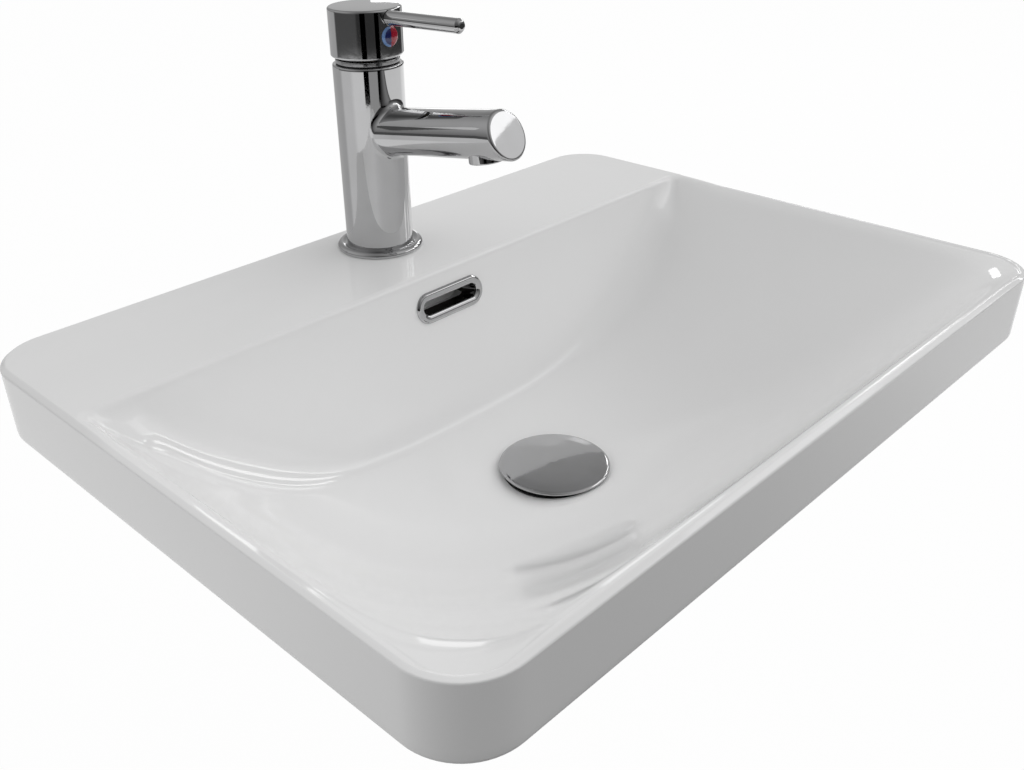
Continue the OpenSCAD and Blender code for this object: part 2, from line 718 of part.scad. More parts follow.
// Disc with a slot for the hoses and a hole for the stud
module horseshoe(d, h, slot) {
    difference() {
        cylinder(d = d, h = h);
        translate([-slot / 2, -d, -eps]) cube([slot, d + port_y, h + 2 * eps]);
        for (x = [-inlet_x, inlet_x]) translate([x, port_y, -eps]) cylinder(d = hose_room_d, h = h + 2 * eps);
        translate([0, stud_y, -eps]) cylinder(d = stud_d + 4 * slip_gap, h = h + 2 * eps);
    }
}
module fixing_stud() color("silver") at_tap() translate([0, stud_y, -stud_l])
    cylinder(d = stud_d, h = stud_l - stub_l + inlet_l - 2 * eps);
module horseshoe_gasket() color("dimgray") at_tap() translate([0, 0, -ceramic_t - gasket_t])
    horseshoe(gasket_d, gasket_t, horseshoe_slot);
module horseshoe_washer() color("silver") at_tap() translate([0, 0, -ceramic_t - gasket_t - washer_t])
    horseshoe(gasket_d - 2, washer_t, horseshoe_slot + 1);
module fixing_nut() color("goldenrod")
    at_tap() translate([0, stud_y, -ceramic_t - gasket_t - washer_t - fixing_nut_h]) difference() {
        cylinder(d = fixing_nut_d, h = fixing_nut_h, $fn = 6);
        translate([0, 0, -eps]) cylinder(d = stud_d + 2 * thread_gap, h = fixing_nut_h + 2 * eps);
    }

module waste_body() color("silver") at_waste() difference() {
    union() {
        translate([0, 0, flange_z]) cylinder(d = flange_d, h = flange_t);
        translate([0, 0, -tube_l]) cylinder(d = tube_d, h = tube_l);
        translate([0, 0, flange_z - shoulder_h]) cylinder(d = waste_hole_d - 2 * eps, h = shoulder_h + eps);
    }
    translate([0, 0, -tube_l - eps]) cylinder(d = tube_d - 2 * tube_wall, h = 2 * tube_l);
    translate([0, 0, flange_z]) cylinder(d1 = tube_d - 2 * tube_wall, d2 = throat_d, h = flange_t);
    for (a = [45, 135]) rotate(a) translate([-port_w / 2, -far / 2, port_low]) cube([port_w, far, port_h]);
    translate([0, 0, tail_l - tube_l]) ring(tube_d + eps, tube_d - tube_wall / 2, relief_h);
}
// Four arms across the tube that carry the click guide.
module waste_bridge() color("silver") at_waste() difference() {
    union() {
        translate([0, 0, cross_z]) cylinder(d = hub_d, h = cross_h);
        intersection() {
            for (a = [0, 90]) rotate(a) translate([-tube_d / 2, -arm_t / 2, cross_z])
                cube([tube_d, arm_t, cross_h]);
            translate([0, 0, cross_z]) cylinder(d = tube_d - 2 * (tube_wall + press_gap), h = cross_h);
        }
    }
    translate([0, 0, cross_z - eps]) cylinder(d = guide_thread_d + 2 * thread_gap, h = cross_h + 2 * eps);
}
module flange_seal() color("dimgray") at_waste() translate([0, 0, -recess_t])
    ring(flange_d - 2, waste_hole_d + 2 * eps, seal_t);
module cone_washer() color("dimgray") at_waste() translate([0, 0, -boss_h - cone_t]) difference() {
    cylinder(d1 = tube_d + 2 * cone_out, d2 = waste_hole_d + 4 * cone_out - 2, h = cone_t);
    translate([0, 0, -eps]) cylinder(d = tube_d + 2 * thread_gap, h = cone_t + 2 * eps);
}
module slip_washer() color("whitesmoke") at_waste() translate([0, 0, backnut_z])
    ring(backnut_d + 2, tube_d + 2 * thread_gap, slip_t);
module backnut() color("goldenrod") at_waste() translate([0, 0, backnut_z - backnut_h]) difference() {
    union() {
        cylinder(d = backnut_d, h = backnut_h, $fn = 6);
        translate([0, 0, backnut_h - nut_face_t]) cylinder(d = backnut_d, h = nut_face_t);
    }
    translate([0, 0, -eps]) cylinder(d = tube_d + 2 * thread_gap, h = backnut_h + 2 * eps);
}

module click_guide() color("goldenrod") at_waste() difference() {
    union() {
        translate([0, 0, cross_z]) cylinder(d = guide_thread_d, h = cross_h);
        translate([0, 0, guide_low]) cylinder(d = guide_d, h = guide_top - guide_low);
    }
    translate([0, 0, spring_low]) cylinder(d = guide_bore, h = guide_top - guide_roof - spring_low);
    translate([0, 0, spring_low]) cylinder(d = plunger_d + 2 * run_gap, h = far);
}
module click_plunger() color("silver") at_waste() {
    translate([0, 0, collar_z - plunger_tail])
        cylinder(d = plunger_d, h = cap_lift - collar_z + plunger_tail - plunger_sunk);
    translate([0, 0, collar_z]) cylinder(d = collar_d, h = collar_t);
}
// Coil spring: one wire of six sides that climbs at a steady pitch.
function spring_ring(i) =
    let (a = 360 * i / spring_steps)
    let (z = spring_low + spring_wire / 2 + spring_play + spring_rise * i / spring_steps)
    [for (k = [0:spring_sides - 1]) let (t = 360 * k / spring_sides)
        let (r = spring_d / 2 + spring_wire / 2 * cos(t))
        [r * cos(a), r * sin(a), z + spring_wire / 2 * sin(t)]];
module click_spring() color("gray") at_waste() {
    count = spring_turns * spring_steps;
    points = [for (i = [0:count]) for (p = spring_ring(i)) p];
    m = spring_sides;
    faces = concat(
        [[for (k = [0:m - 1]) k]],
        [for (i = [0:count - 1]) for (k = [0:m - 1])
            let (a = i * m + k, b = i * m + (k + 1) % m) [a, a + m, b + m]],
        [for (i = [0:count - 1]) for (k = [0:m - 1])
            let (a = i * m + k, b = i * m + (k + 1) % m) [a, b + m, b]],
        [[for (k = [m - 1:-1:0]) count * m + k]]
    );
    polyhedron(points, faces);
}
// Cap: a disc whose crown is part of a sphere, on a smaller plug and a threaded hub.
module waste_cap() color("silver") at_waste() difference() {
    union() {
        translate([0, 0, cap_lift]) cylinder(d = cap_d, h = cap_t);
        translate([0, 0, cap_lift + cap_t]) intersection() {
            translate([0, 0, cap_crown - crown_r]) sphere(crown_r, $fn = 200);
            cylinder(d = cap_d, h = cap_crown + 1);
        }
        translate([0, 0, cap_lift - plug_h]) cylinder(d = plug_d, h = plug_h + eps);
        translate([0, 0, cap_hub_low]) cylinder(d = 2 * plunger_d, h = cap_lift - cap_hub_low + eps);
    }
    translate([0, 0, cap_hub_low - eps]) cylinder(d = plunger_d + thread_gap, h = cap_lift - cap_hub_low);
}
module cap_seal() color("black") at_waste() translate([0, 0, flange_top])
    ring(plug_d + 7, plug_d + thread_gap, cap_lift - flange_top);

basin();
overflow_ring();
tap_body();
base_ring();
base_gasket();
aerator_housing();
aerator_insert();
aerator_washer();
cartridge_body();
cartridge_seals();
fixed_disc();
moving_disc();
disc_driver();
cartridge_carrier();
pivot_pin();
lever_stem();
cartridge_nut();
trim_ring();
handle();
lever_rod();
handle_screw();
indicator_button();
fixing_stud();
horseshoe_gasket();
horseshoe_washer();
fixing_nut();
waste_body();
waste_bridge();
flange_seal();
cone_washer();
slip_washer();
backnut();
click_guide();
click_spring();
click_plunger();
waste_cap();
cap_seal();
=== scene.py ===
import json
from math import cos, pi, radians, sin, sqrt, tan

import bpy
import numpy as np
from mathutils import Matrix, Vector


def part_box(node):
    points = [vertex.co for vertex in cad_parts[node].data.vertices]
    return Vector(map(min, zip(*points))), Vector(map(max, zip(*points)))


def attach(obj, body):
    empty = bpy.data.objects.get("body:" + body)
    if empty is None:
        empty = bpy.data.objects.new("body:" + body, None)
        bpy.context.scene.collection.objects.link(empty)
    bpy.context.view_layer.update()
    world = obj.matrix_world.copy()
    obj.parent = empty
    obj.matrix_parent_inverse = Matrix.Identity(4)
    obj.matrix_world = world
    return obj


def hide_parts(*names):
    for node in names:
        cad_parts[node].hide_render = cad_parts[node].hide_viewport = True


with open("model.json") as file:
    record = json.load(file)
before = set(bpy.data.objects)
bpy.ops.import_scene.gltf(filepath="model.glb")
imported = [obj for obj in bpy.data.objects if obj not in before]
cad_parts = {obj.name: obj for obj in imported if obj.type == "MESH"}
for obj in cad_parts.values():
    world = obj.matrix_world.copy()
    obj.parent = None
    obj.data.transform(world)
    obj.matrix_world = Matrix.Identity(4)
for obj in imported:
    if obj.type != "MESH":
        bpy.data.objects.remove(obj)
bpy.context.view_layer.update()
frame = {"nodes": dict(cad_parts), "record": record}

mm = 0.001
X_AXIS, Y_AXIS, Z_AXIS = Vector((1, 0, 0)), Vector((0, 1, 0)), Vector((0, 0, 1))


def box_mm(node):
    """Lowest and highest corner of a solid of the frame, in millimetres."""
    low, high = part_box(node)
    return Vector(low) / mm, Vector(high) / mm


# Sizes that the frame gives, in millimetres

BASIN_LOW, BASIN_HIGH = box_mm("basin")
HALF_W, HALF_D, RIM_Z = BASIN_HIGH
TAP_HIGH = box_mm("tap_body")[1]
COLUMN_R = TAP_HIGH.x
TAP_Y = TAP_HIGH.y - COLUMN_R
CAP_LOW, CAP_HIGH = box_mm("waste_cap")
CAP_R = CAP_HIGH.x
WASTE_Y = (CAP_LOW.y + CAP_HIGH.y) / 2
HANDLE_LOW, HANDLE_HIGH = box_mm("handle")
HANDLE_R = HANDLE_HIGH.x


# Sizes of the basin, in millimetres

CORNER_R = 33
CERAMIC_T = 12

# The bowl falls from the lip to its lowest point, over a run to each side.
LIP_W = 6
BOWL_DEPTH = 113
BOWL_Z = RIM_Z - BOWL_DEPTH
SIDE_RUN = HALF_W - LIP_W
FRONT_RUN = HALF_D - LIP_W + WASTE_Y
BACK_RUN = 223
SIDE_POWER, FRONT_POWER, BACK_POWER = 3.05, 2.2, 2.0

# The back wall leans back a little, from the bowl up to the deck's edge.
WALL_Y = 87
WALL_LEAN = radians(13.2)
WALL_OUT = Vector((0, -cos(WALL_LEAN), sin(WALL_LEAN)))
WALL_UP = Vector((0, sin(WALL_LEAN), cos(WALL_LEAN)))

# Radius between wall and bowl, how much it grows and shrinks, and between which x.
CREASE_R = 5
CREASE_WIDER, CREASE_WIDER_X = 17, (80, 195)
CREASE_TIGHTER, CREASE_TIGHTER_X = 15, (222, 250)

# Radius of the top's edges. It is tighter along the deck and wider beside the bowl.
EDGE_R = 3.2
DECK_TIGHTER, DECK_TIGHTER_X, DECK_TIGHTER_Y = 0.6, (236, 252), (60, 80)
SIDE_WIDER, SIDE_WIDER_X, SIDE_WIDER_Y = 4.3, (205, 245), (40, 75)

# Lip and skirt, as insets from the outline and heights.
SHEET_INSET = 4.4
LIP_BEVEL_W, LIP_BEVEL_H = 3.2, 2.3
SKIRT_MIDDLE = 20
FOOT_ROUND = 4.5
FOOT_FROM, FOOT_W = 7, 18
SKIRT_INNER_Z = 12
BARE_FOOT_H = 0.6

# Overflow: the slot in the wall, the sleeve in it, and the unglazed room behind it, painted
# dark as shade, given by how far its middle lies behind the wall's face and above the slot,
# and by half its size.
SLOT_L, SLOT_H = 47.0, 8.6
SLEEVE_T = 1.8
SLEEVE_GAP = 0.15
OVERFLOW_DROP = 20.8
OVERFLOW_AT = Vector((0, WALL_Y, RIM_Z)) - WALL_UP * (OVERFLOW_DROP / cos(WALL_LEAN))
UNGLAZED_SHADED_BEHIND, UNGLAZED_SHADED_RAISED = 13, 3
UNGLAZED_SHADED_HALF_W, UNGLAZED_SHADED_HALF_T, UNGLAZED_SHADED_HALF_H = 28.5, 11.5, 10

# Underside: the box round the overflow duct, the channel to the waste, and the waste's boss.
DUCT_SIZE, DUCT_BACK, DUCT_DOWN = (70, 96, 24), 19, 40
CHANNEL_SIZE, CHANNEL_Z_TO = (54, 96, 22), (0, -0.14, 1)
CHANNEL_AT = (0, WASTE_Y + 62, BOWL_Z - 17)
DUCT_BEVEL = 4
WASTE_BOSS_R, WASTE_BOSS_H = 35, 45
DRAIN_R, DRAIN_SEAT_R, DRAIN_SEAT = 23, 33.5, 3.5
TAP_HOLE_R = 17.5


# Sizes of the tap, in millimetres

DECK = RIM_Z
COLUMN_TOP = DECK + 119.6
COLUMN_INNER_R = 19.6
SHANK_R = 16.8
SPOUT_R = 14.3
SPOUT_RISE = radians(8.9)
SPOUT_L = 120.3
SPOUT_FROM = Vector((0, TAP_Y, DECK + 76.9))
SPOUT_AHEAD = Vector((0, -cos(SPOUT_RISE), sin(SPOUT_RISE)))
SPOUT_UP = Vector((0, sin(SPOUT_RISE), cos(SPOUT_RISE)))
SPOUT_END_LEAN = radians(27)
SPOUT_END_ROUND = 1.8
SPOUT_RINGS = (36, 52, 68, 84, 98, 108)
FLARE_LEAST, FLARE_MORE, FLARE_POWER = 1.6, 3.6, 1.5
OUTLET_L = 100.6
AERATOR_R = 10.4
AERATOR_OUT = 1.4
HANDLE_WALL = 2.6
ROOF_T = 2.45
DOME_H = 0.5
BOSS_R = 9.0
BOSS_GAP = 7.1
LEVER_R = 4.25
LEVER_DROP = 5.4
LEVER_RISE = radians(1.9)
LEVER_REACH = 84.0
HANDLE_ROOF = HANDLE_HIGH.z - HANDLE_LOW.z - LEVER_DROP - LEVER_R - ROOF_T
BUTTON_R = 6.0
BUTTON_UP = 13.1
HANDLE_FRONT_Y = TAP_Y - HANDLE_R
BUTTON_AT = Vector((0, HANDLE_FRONT_Y, HANDLE_LOW.z + BUTTON_UP))
LEVER_FOOT = Vector((0, HANDLE_FRONT_Y, HANDLE_HIGH.z - LEVER_DROP))
LEVER_AHEAD = Vector((0, -cos(LEVER_RISE), sin(LEVER_RISE)))


# Camera

def set_camera():
    """The photograph's viewpoint, fitted to the basin's edges."""
    place = Vector((-430.15, -371.43, 306.16)) * mm
    yaw, pitch, roll = radians(44.55), radians(31.25), radians(-1.39)
    ahead = Vector((sin(yaw) * cos(pitch), cos(yaw) * cos(pitch), -sin(pitch)))
    right = ahead.cross(Z_AXIS).normalized()
    up = right.cross(ahead)
    right, up = right * cos(roll) + up * sin(roll), up * cos(roll) - right * sin(roll)
    data = bpy.data.cameras.new("camera")
    data.sensor_width = 36
    data.lens = 36.68
    data.shift_x = 0.0401
    data.shift_y = 0.0408
    data.clip_start = 0.01
    camera = bpy.data.objects.new("camera", data)
    turn = Matrix((right, up, -ahead)).transposed().to_4x4()
    camera.matrix_world = Matrix.Translation(place) @ turn
    bpy.context.collection.objects.link(camera)
    bpy.context.scene.camera = camera


set_camera()


# Finishes

class Value:
    """A socket that carries a number, so that maths on it is written with the usual signs."""

    def __init__(self, finish, socket):
        self.finish = finish
        self.socket = socket

    def maths(self, operation, *values):
        return self.finish.node("Math", dict(enumerate(values)), operation=operation)

    def root(self):
        return self.maths("SQRT", self)

    def __add__(self, other):
        return self.maths("ADD", self, other)

    def __sub__(self, other):
        return self.maths("SUBTRACT", self, other)

    def __rsub__(self, other):
        return self.maths("SUBTRACT", other, self)

    def __mul__(self, other):
        return self.maths("MULTIPLY", self, other)

    def __gt__(self, other):
        return self.maths("GREATER_THAN", self, other)

    def __lt__(self, other):
        return self.maths("LESS_THAN", self, other)

    def __pow__(self, other):
        return self.maths("POWER", self, other)

    def __abs__(self):
        return self.maths("ABSOLUTE", self)

    __radd__ = __add__
    __rmul__ = __mul__


class Nodes:
    """A node tree and a short way of adding to it."""

    def __init__(self, tree):
        self.tree = tree

    def feed(self, socket, value):
        if isinstance(value, Value):
            self.tree.links.new(value.socket, socket)
        else:
            socket.default_value = value

    def node(self, kind, inputs=None, output=0, **settings):
        """A new node: its settings first, then the values or links of its sockets."""
        node = self.tree.nodes.new("ShaderNode" + kind)
        for key, value in settings.items():
            setattr(node, key, value)
        for key, value in (inputs or {}).items():
            self.feed(node.inputs[key], value)
        return Value(self, node.outputs[output])

    def place(self):
        return self.node("TexCoord", output="Object")

    def axis(self, letter):
        return self.node("SeparateXYZ", {0: self.place()}, output=letter)

    def noise(self, scale, detail=3.0, stretch=None):
        place = self.place()
        if stretch:
            place = self.node("Mapping", {"Vector": place, "Scale": stretch})
        return self.node("TexNoise", {"Vector": place, "Scale": scale, "Detail": detail})

    def spread(self, value, low, high):
        """A 0 to 1 value spread between two numbers."""
        return value * (high - low) + low

    def rise(self, value, start, end, low, high):
        """A smooth step from one number to another while a value goes from start to end."""
        settings = {"Value": value, 1: start, 2: end, 3: low, 4: high}
        return self.node("MapRange", settings, interpolation_type="SMOOTHSTEP")

    def mix(self, factor, first, second):
        return self.node("Mix", {0: factor, 6: first, 7: second}, output=2, data_type="RGBA")


class Finish(Nodes):
    """One material: a Principled shader with constants on its own sockets and nodes before it."""

    def __init__(self, name, **constants):
        self.material = bpy.data.materials.new(name)
        self.material.use_nodes = True
        super().__init__(self.material.node_tree)
        self.shader = self.tree.nodes["Principled BSDF"]
        for socket, value in constants.items():
            self.shader.inputs[socket.replace("_", " ")].default_value = value

    def bump(self, height, strength, distance):
        settings = {"Height": height, "Strength": strength, "Distance": distance}
        self.set("Normal", self.node("Bump", settings))

    def set(self, socket, value):
        self.feed(self.shader.inputs[socket], value)


def rgb(red, green, blue):
    return (red, green, blue, 1.0)


def grey(shade):
    return rgb(shade, shade, shade)


def white_glaze():
    """Fired gloss glaze, with bare clay where the foot stands and an unglazed duct painted dark as
    shade.
    """
    f = Finish("white_glaze", IOR=1.52, Coat_Roughness=0.03)
    x, y, z = f.axis("X"), f.axis("Y"), f.axis("Z")
    cloud = f.noise(9.0, 2.0)
    glaze = f.mix(cloud, grey(0.865), grey(0.885))
    grit = f.noise(900.0, 2.0)
    clay = f.mix(grit, rgb(0.70, 0.67, 0.62), rgb(0.80, 0.78, 0.74))
    on_foot = (abs(x) > (HALF_W - FOOT_W) * mm) + (abs(y) > (HALF_D - FOOT_W) * mm)
    bare = (abs(z) < BARE_FOOT_H * mm) * (on_foot > 0.5)
    wall_y = (WALL_Y - RIM_Z * tan(WALL_LEAN)) * mm
    behind_wall = (y - wall_y - z * tan(WALL_LEAN)) * cos(WALL_LEAN)
    slot_z = (RIM_Z - OVERFLOW_DROP + UNGLAZED_SHADED_RAISED) * mm
    # The duct behind the overflow slot: rougher where unglazed, and painted near black as shade.
    unglazed_and_shaded_duct = abs(behind_wall - UNGLAZED_SHADED_BEHIND * mm) < UNGLAZED_SHADED_HALF_T * mm
    unglazed_and_shaded_duct = unglazed_and_shaded_duct * (abs(x) < UNGLAZED_SHADED_HALF_W * mm)
    unglazed_and_shaded_duct = unglazed_and_shaded_duct * (abs(z - slot_z) < UNGLAZED_SHADED_HALF_H * mm)
    glazed = f.mix(bare, glaze, clay)
    # Painted shade: the duct's colour is near black, far darker than the bare clay of the foot.
    f.set("Base Color", f.mix(unglazed_and_shaded_duct, glazed, rgb(0.05, 0.047, 0.042)))
    f.set("Roughness", f.spread(cloud, 0.05, 0.09) + bare * 0.6 + unglazed_and_shaded_duct * 0.6)
    f.bump(f.noise(55.0, 1.0) + bare * grit * 4.0, 0.02, 0.002)
    return f.material


def polished_chrome(name="polished_chrome", shade=0.50, rough=0.02):
    """Chrome plate with a faint film of wiped water."""
    f = Finish(name, Metallic=1.0)
    film = f.noise(60.0, 4.0)
    wiped = rgb(shade + 0.06, shade + 0.06, shade + 0.07)
    f.set("Base Color", f.mix(film, grey(shade), wiped))
    f.set("Roughness", f.spread(film, rough, rough + 0.05))
    f.bump(f.noise(220.0, 2.0), 0.02, 0.0004)
    return f.material


def turned_metal(name, low, high, rough):
    """Plain metal with fine rings from the lathe."""
    f = Finish(name, Metallic=1.0)
    rings = f.noise(40.0, 3.0, stretch=(1, 1, 60))
    patches = f.noise(35.0, 3.0)
    f.set("Base Color", f.mix(patches, rgb(*low), rgb(*high)))
    f.set("Roughness", f.spread(rings, rough, rough + 0.18))
    f.bump(rings, 0.12, 0.0004)
    return f.material


def grained(name, noise, low, high, rough, bump, **constants):
    """A dull material whose colour, roughness and bump all follow one fine grain."""
    f = Finish(name, **constants)
    grain = f.noise(*noise)
    f.set("Base Color", f.mix(grain, rgb(*low), rgb(*high)))
    f.set("Roughness", f.spread(grain, *rough))
    f.bump(grain, *bump)
    return f.material


def black_rubber():
    colours = (0.016, 0.016, 0.017), (0.04, 0.04, 0.042)
    shine = {"Specular_IOR_Level": 0.35}
    return grained("black_rubber", (700.0, 4.0), *colours, (0.55, 0.8), (0.25, 0.0003), **shine)


def plain_plastic():
    colours = (0.66, 0.66, 0.64), (0.76, 0.76, 0.74)
    return grained("plain_plastic", (500.0, 3.0), *colours, (0.35, 0.5), (0.1, 0.0003))


def fired_ceramic():
    colours = (0.72, 0.69, 0.62), (0.84, 0.81, 0.75)
    return grained("fired_ceramic", (1500.0, 3.0), *colours, (0.25, 0.4), (0.05, 0.0002))


def indicator_enamel():
    """Red on one half and blue on the other, with a paler rim on the blue."""
    f = Finish("indicator_enamel", Roughness=0.12, Coat_Weight=0.6)
    side = f.axis("X")
    blue = f.mix(f.noise(400.0), rgb(0.008, 0.012, 0.09), rgb(0.012, 0.02, 0.13))
    red = f.mix(f.noise(400.0), rgb(0.30, 0.006, 0.02), rgb(0.40, 0.01, 0.035))
    height = f.axis("Z") - BUTTON_AT.z * mm
    out = (side * side + height * height).root()
    rim = f.rise(out, 4.4 * mm, 5.0 * mm, 0.0, 1.0)
    blue = f.mix(rim, blue, rgb(0.18, 0.32, 0.62))
    f.set("Base Color", f.mix(side > 0.0, blue, red))
    return f.material


FINISHES = {
    "white_glaze": white_glaze(),
    "chrome_plate": polished_chrome(),
    "brass": turned_metal("turned_brass", (0.62, 0.44, 0.19), (0.74, 0.55, 0.27), 0.22),
    "steel": turned_metal("turned_steel", (0.48, 0.48, 0.47), (0.60, 0.60, 0.59), 0.25),
    "rubber_seal": black_rubber(),
    "plain_plastic": plain_plastic(),
    "fired_ceramic": fired_ceramic(),
    "indicator_enamel": indicator_enamel(),
}
SLOT_OF = {part["node"]: part["material_slot"] for part in frame["record"]["subparts"]}
BODY_OF = {
    node: body for body, nodes in frame["record"]["behaviour"]["bodies"].items() for node in nodes
}


# Modelling helpers

def soften(points, steps=5):
    """(radius, height, bend) triples as (radius, height) pairs, each corner rounded over its bend.

    A pair just outside each bend keeps the faces beside it evenly shaded.
    """
    most_of_side, hold_out = 0.4, 1.2
    result = []
    for i, (r, z, bend) in enumerate(points):
        if bend == 0 or i in (0, len(points) - 1):
            result.append((r, z))
            continue
        corner = Vector((r, z))
        ends, holds = [], []
        for other in (points[i - 1], points[i + 1]):
            away = Vector(other[:2]) - corner
            reach = min(bend, away.length * most_of_side)
            ends.append(corner + away.normalized() * reach)
            holds.append(corner + away.normalized() * reach * hold_out)
        result.append(tuple(holds[0]))
        for k in range(steps + 1):
            t = k / steps
            p = ends[0] * (1 - t) ** 2 + corner * 2 * t * (1 - t) + ends[1] * t**2
            result.append(tuple(p))
        result.append(tuple(holds[1]))
    return result


def select_only(piece):
    bpy.ops.object.select_all(action="DESELECT")
    bpy.context.view_layer.objects.active = piece
    piece.select_set(True)


def primitive(name, add, **settings):
    """A new object from one of Blender's primitive operators, with nothing else selected."""
    bpy.ops.object.select_all(action="DESELECT")
    add(**settings)
    piece = bpy.context.object
    piece.name = piece.data.name = name
    return piece


def turned(name, profile, segments=96):
    """A closed piece about Z: a disc extruded from ring to ring of a profile in millimetres."""
    least_r = 0.05
    rings = [(max(r, least_r) * mm, z * mm) for r, z in soften(profile)]
    radius, height = rings[0]
    disc = {"vertices": segments, "radius": radius, "fill_type": "NGON"}
    piece = primitive(name, bpy.ops.mesh.primitive_circle_add, **disc)
    bpy.ops.object.mode_set(mode="EDIT")
    bpy.ops.transform.translate(value=(0, 0, height))
    for next_radius, next_height in rings[1:]:
        rise = {"value": (0, 0, next_height - height)}
        bpy.ops.mesh.extrude_region_move(TRANSFORM_OT_translate=rise)
        size = next_radius / radius
        bpy.ops.transform.resize(value=(size, size, 1), center_override=(0, 0, next_height))
        radius, height = next_radius, next_height
    tidy_normals()
    return piece


def tidy_normals():
    """Leaves edit mode with doubles merged and every face pointing outwards."""
    bpy.ops.mesh.select_all(action="SELECT")
    bpy.ops.mesh.remove_doubles(threshold=1e-6)
    bpy.ops.mesh.normals_make_consistent(inside=False)
    bpy.ops.object.mode_set(mode="OBJECT")


def skin(name, points, faces):
    """A new closed piece from points in metres and the faces between them."""
    mesh = bpy.data.meshes.new(name)
    mesh.from_pydata(points, [], faces)
    piece = bpy.data.objects.new(name, mesh)
    bpy.context.collection.objects.link(piece)
    select_only(piece)
    bpy.ops.object.mode_set(mode="EDIT")
    tidy_normals()
    return piece


def loft(name, rings, closed=False):
    """A skin over rings of as many points each, in millimetres; closed joins last to first."""
    count = len(rings[0])
    points = [Vector(p) * mm for ring in rings for p in ring]
    faces = []
    for i in range(len(rings) if closed else len(rings) - 1):
        a, b = i * count, (i + 1) % len(rings) * count
        faces += [(a + j, a + (j + 1) % count, b + (j + 1) % count, b + j) for j in range(count)]
    if not closed:
        last = range(len(points) - count, len(points))
        faces += [tuple(range(count)), tuple(last)[::-1]]
    return skin(name, points, faces)


def slab(name, size):
    """A box of a size in millimetres, with its middle at the origin."""
    piece = primitive(name, bpy.ops.mesh.primitive_cube_add, size=1)
    piece.data.transform(Matrix.Diagonal((*(Vector(size) * mm), 1)))
    return piece


def stadium_bar(name, length, height, depth):
    """A bar with round ends along X, with its middle at the origin."""
    bar = {"vertices": 64, "radius": height / 2 * mm, "depth": depth * mm}
    piece = primitive(name, bpy.ops.mesh.primitive_cylinder_add, **bar)
    shift, on_axis = (length - height) / 2 * mm, 1e-6
    for vertex in piece.data.vertices:
        x = vertex.co.x
        vertex.co.x += shift if x > on_axis else -shift if x < -on_axis else 0
    return piece


def put(piece, at, z_to=None):
    """Moves a mesh so that its Z points along z_to and its origin comes to a place in mm."""
    turn = Matrix.Identity(4)
    if z_to is not None:
        z = Vector(z_to).normalized()
        x = (X_AXIS - z * z.dot(X_AXIS)).normalized()
        turn = Matrix((x, z.cross(x), z)).transposed().to_4x4()
    piece.data.transform(Matrix.Translation(Vector(at) * mm) @ turn)


def apply(piece, modifier):
    bpy.context.view_layer.objects.active = piece
    bpy.ops.object.modifier_apply(modifier=modifier.name)


def cut(piece, cutter, operation="DIFFERENCE"):
    """One boolean with another mesh, applied, and the other mesh deleted."""
    modifier = piece.modifiers.new("cut", "BOOLEAN")
    modifier.object = cutter
    modifier.operation = operation
    modifier.solver = "EXACT"
    apply(piece, modifier)
    bpy.data.objects.remove(cutter, do_unlink=True)


def bevelled(piece, width):
    """Three-step bevels on every edge that turns more than 30 degrees."""
    modifier = piece.modifiers.new("edges", "BEVEL")
    modifier.width = width * mm
    modifier.segments = 3
    modifier.limit_method = "ANGLE"
    modifier.angle_limit = radians(30)
    apply(piece, modifier)


def finished(piece, *nodes, finish=None, angle=32):
    """Smooth shading, finish, body and the solids that the piece stands for."""
    select_only(piece)
    bpy.ops.object.shade_smooth_by_angle(angle=radians(angle))
    slot = SLOT_OF[nodes[0]]
    piece.data.materials.clear()
    piece.data.materials.append(finish or FINISHES[slot])
    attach(piece, BODY_OF[nodes[0]])
    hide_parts(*nodes)


# Basin's surfaces

HALVINGS, AVERAGINGS = 34, 40


def bowl_z(x, y, grow=0.0):
    """Height of the bowl's surface, which goes on rising outside the lip."""
    across = 1 - (np.abs(x) / (SIDE_RUN + grow)) ** SIDE_POWER
    front = (WASTE_Y - y) / (FRONT_RUN + grow)
    back = (y - WASTE_Y) / (BACK_RUN + grow)
    along = np.where(
        y < WASTE_Y, 1 - np.abs(front) ** FRONT_POWER, 1 - np.abs(back) ** BACK_POWER
    )
    inside = (across > 0) & (along > 0)
    share = np.where(inside, across * along, np.minimum(across, along))
    return RIM_Z - (BOWL_DEPTH + grow) * share


def levelness(x, y):
    """Cosine of the bowl's steepness."""
    step = 0.5
    dx = (bowl_z(x + step, y) - bowl_z(x - step, y)) / (2 * step)
    dy = (bowl_z(x, y + step) - bowl_z(x, y - step)) / (2 * step)
    return 1 / np.sqrt(1 + dx**2 + dy**2)


def smooth_step(value, low, high):
    t = np.clip((value - low) / (high - low), 0, 1)
    return t * t * (3 - 2 * t)


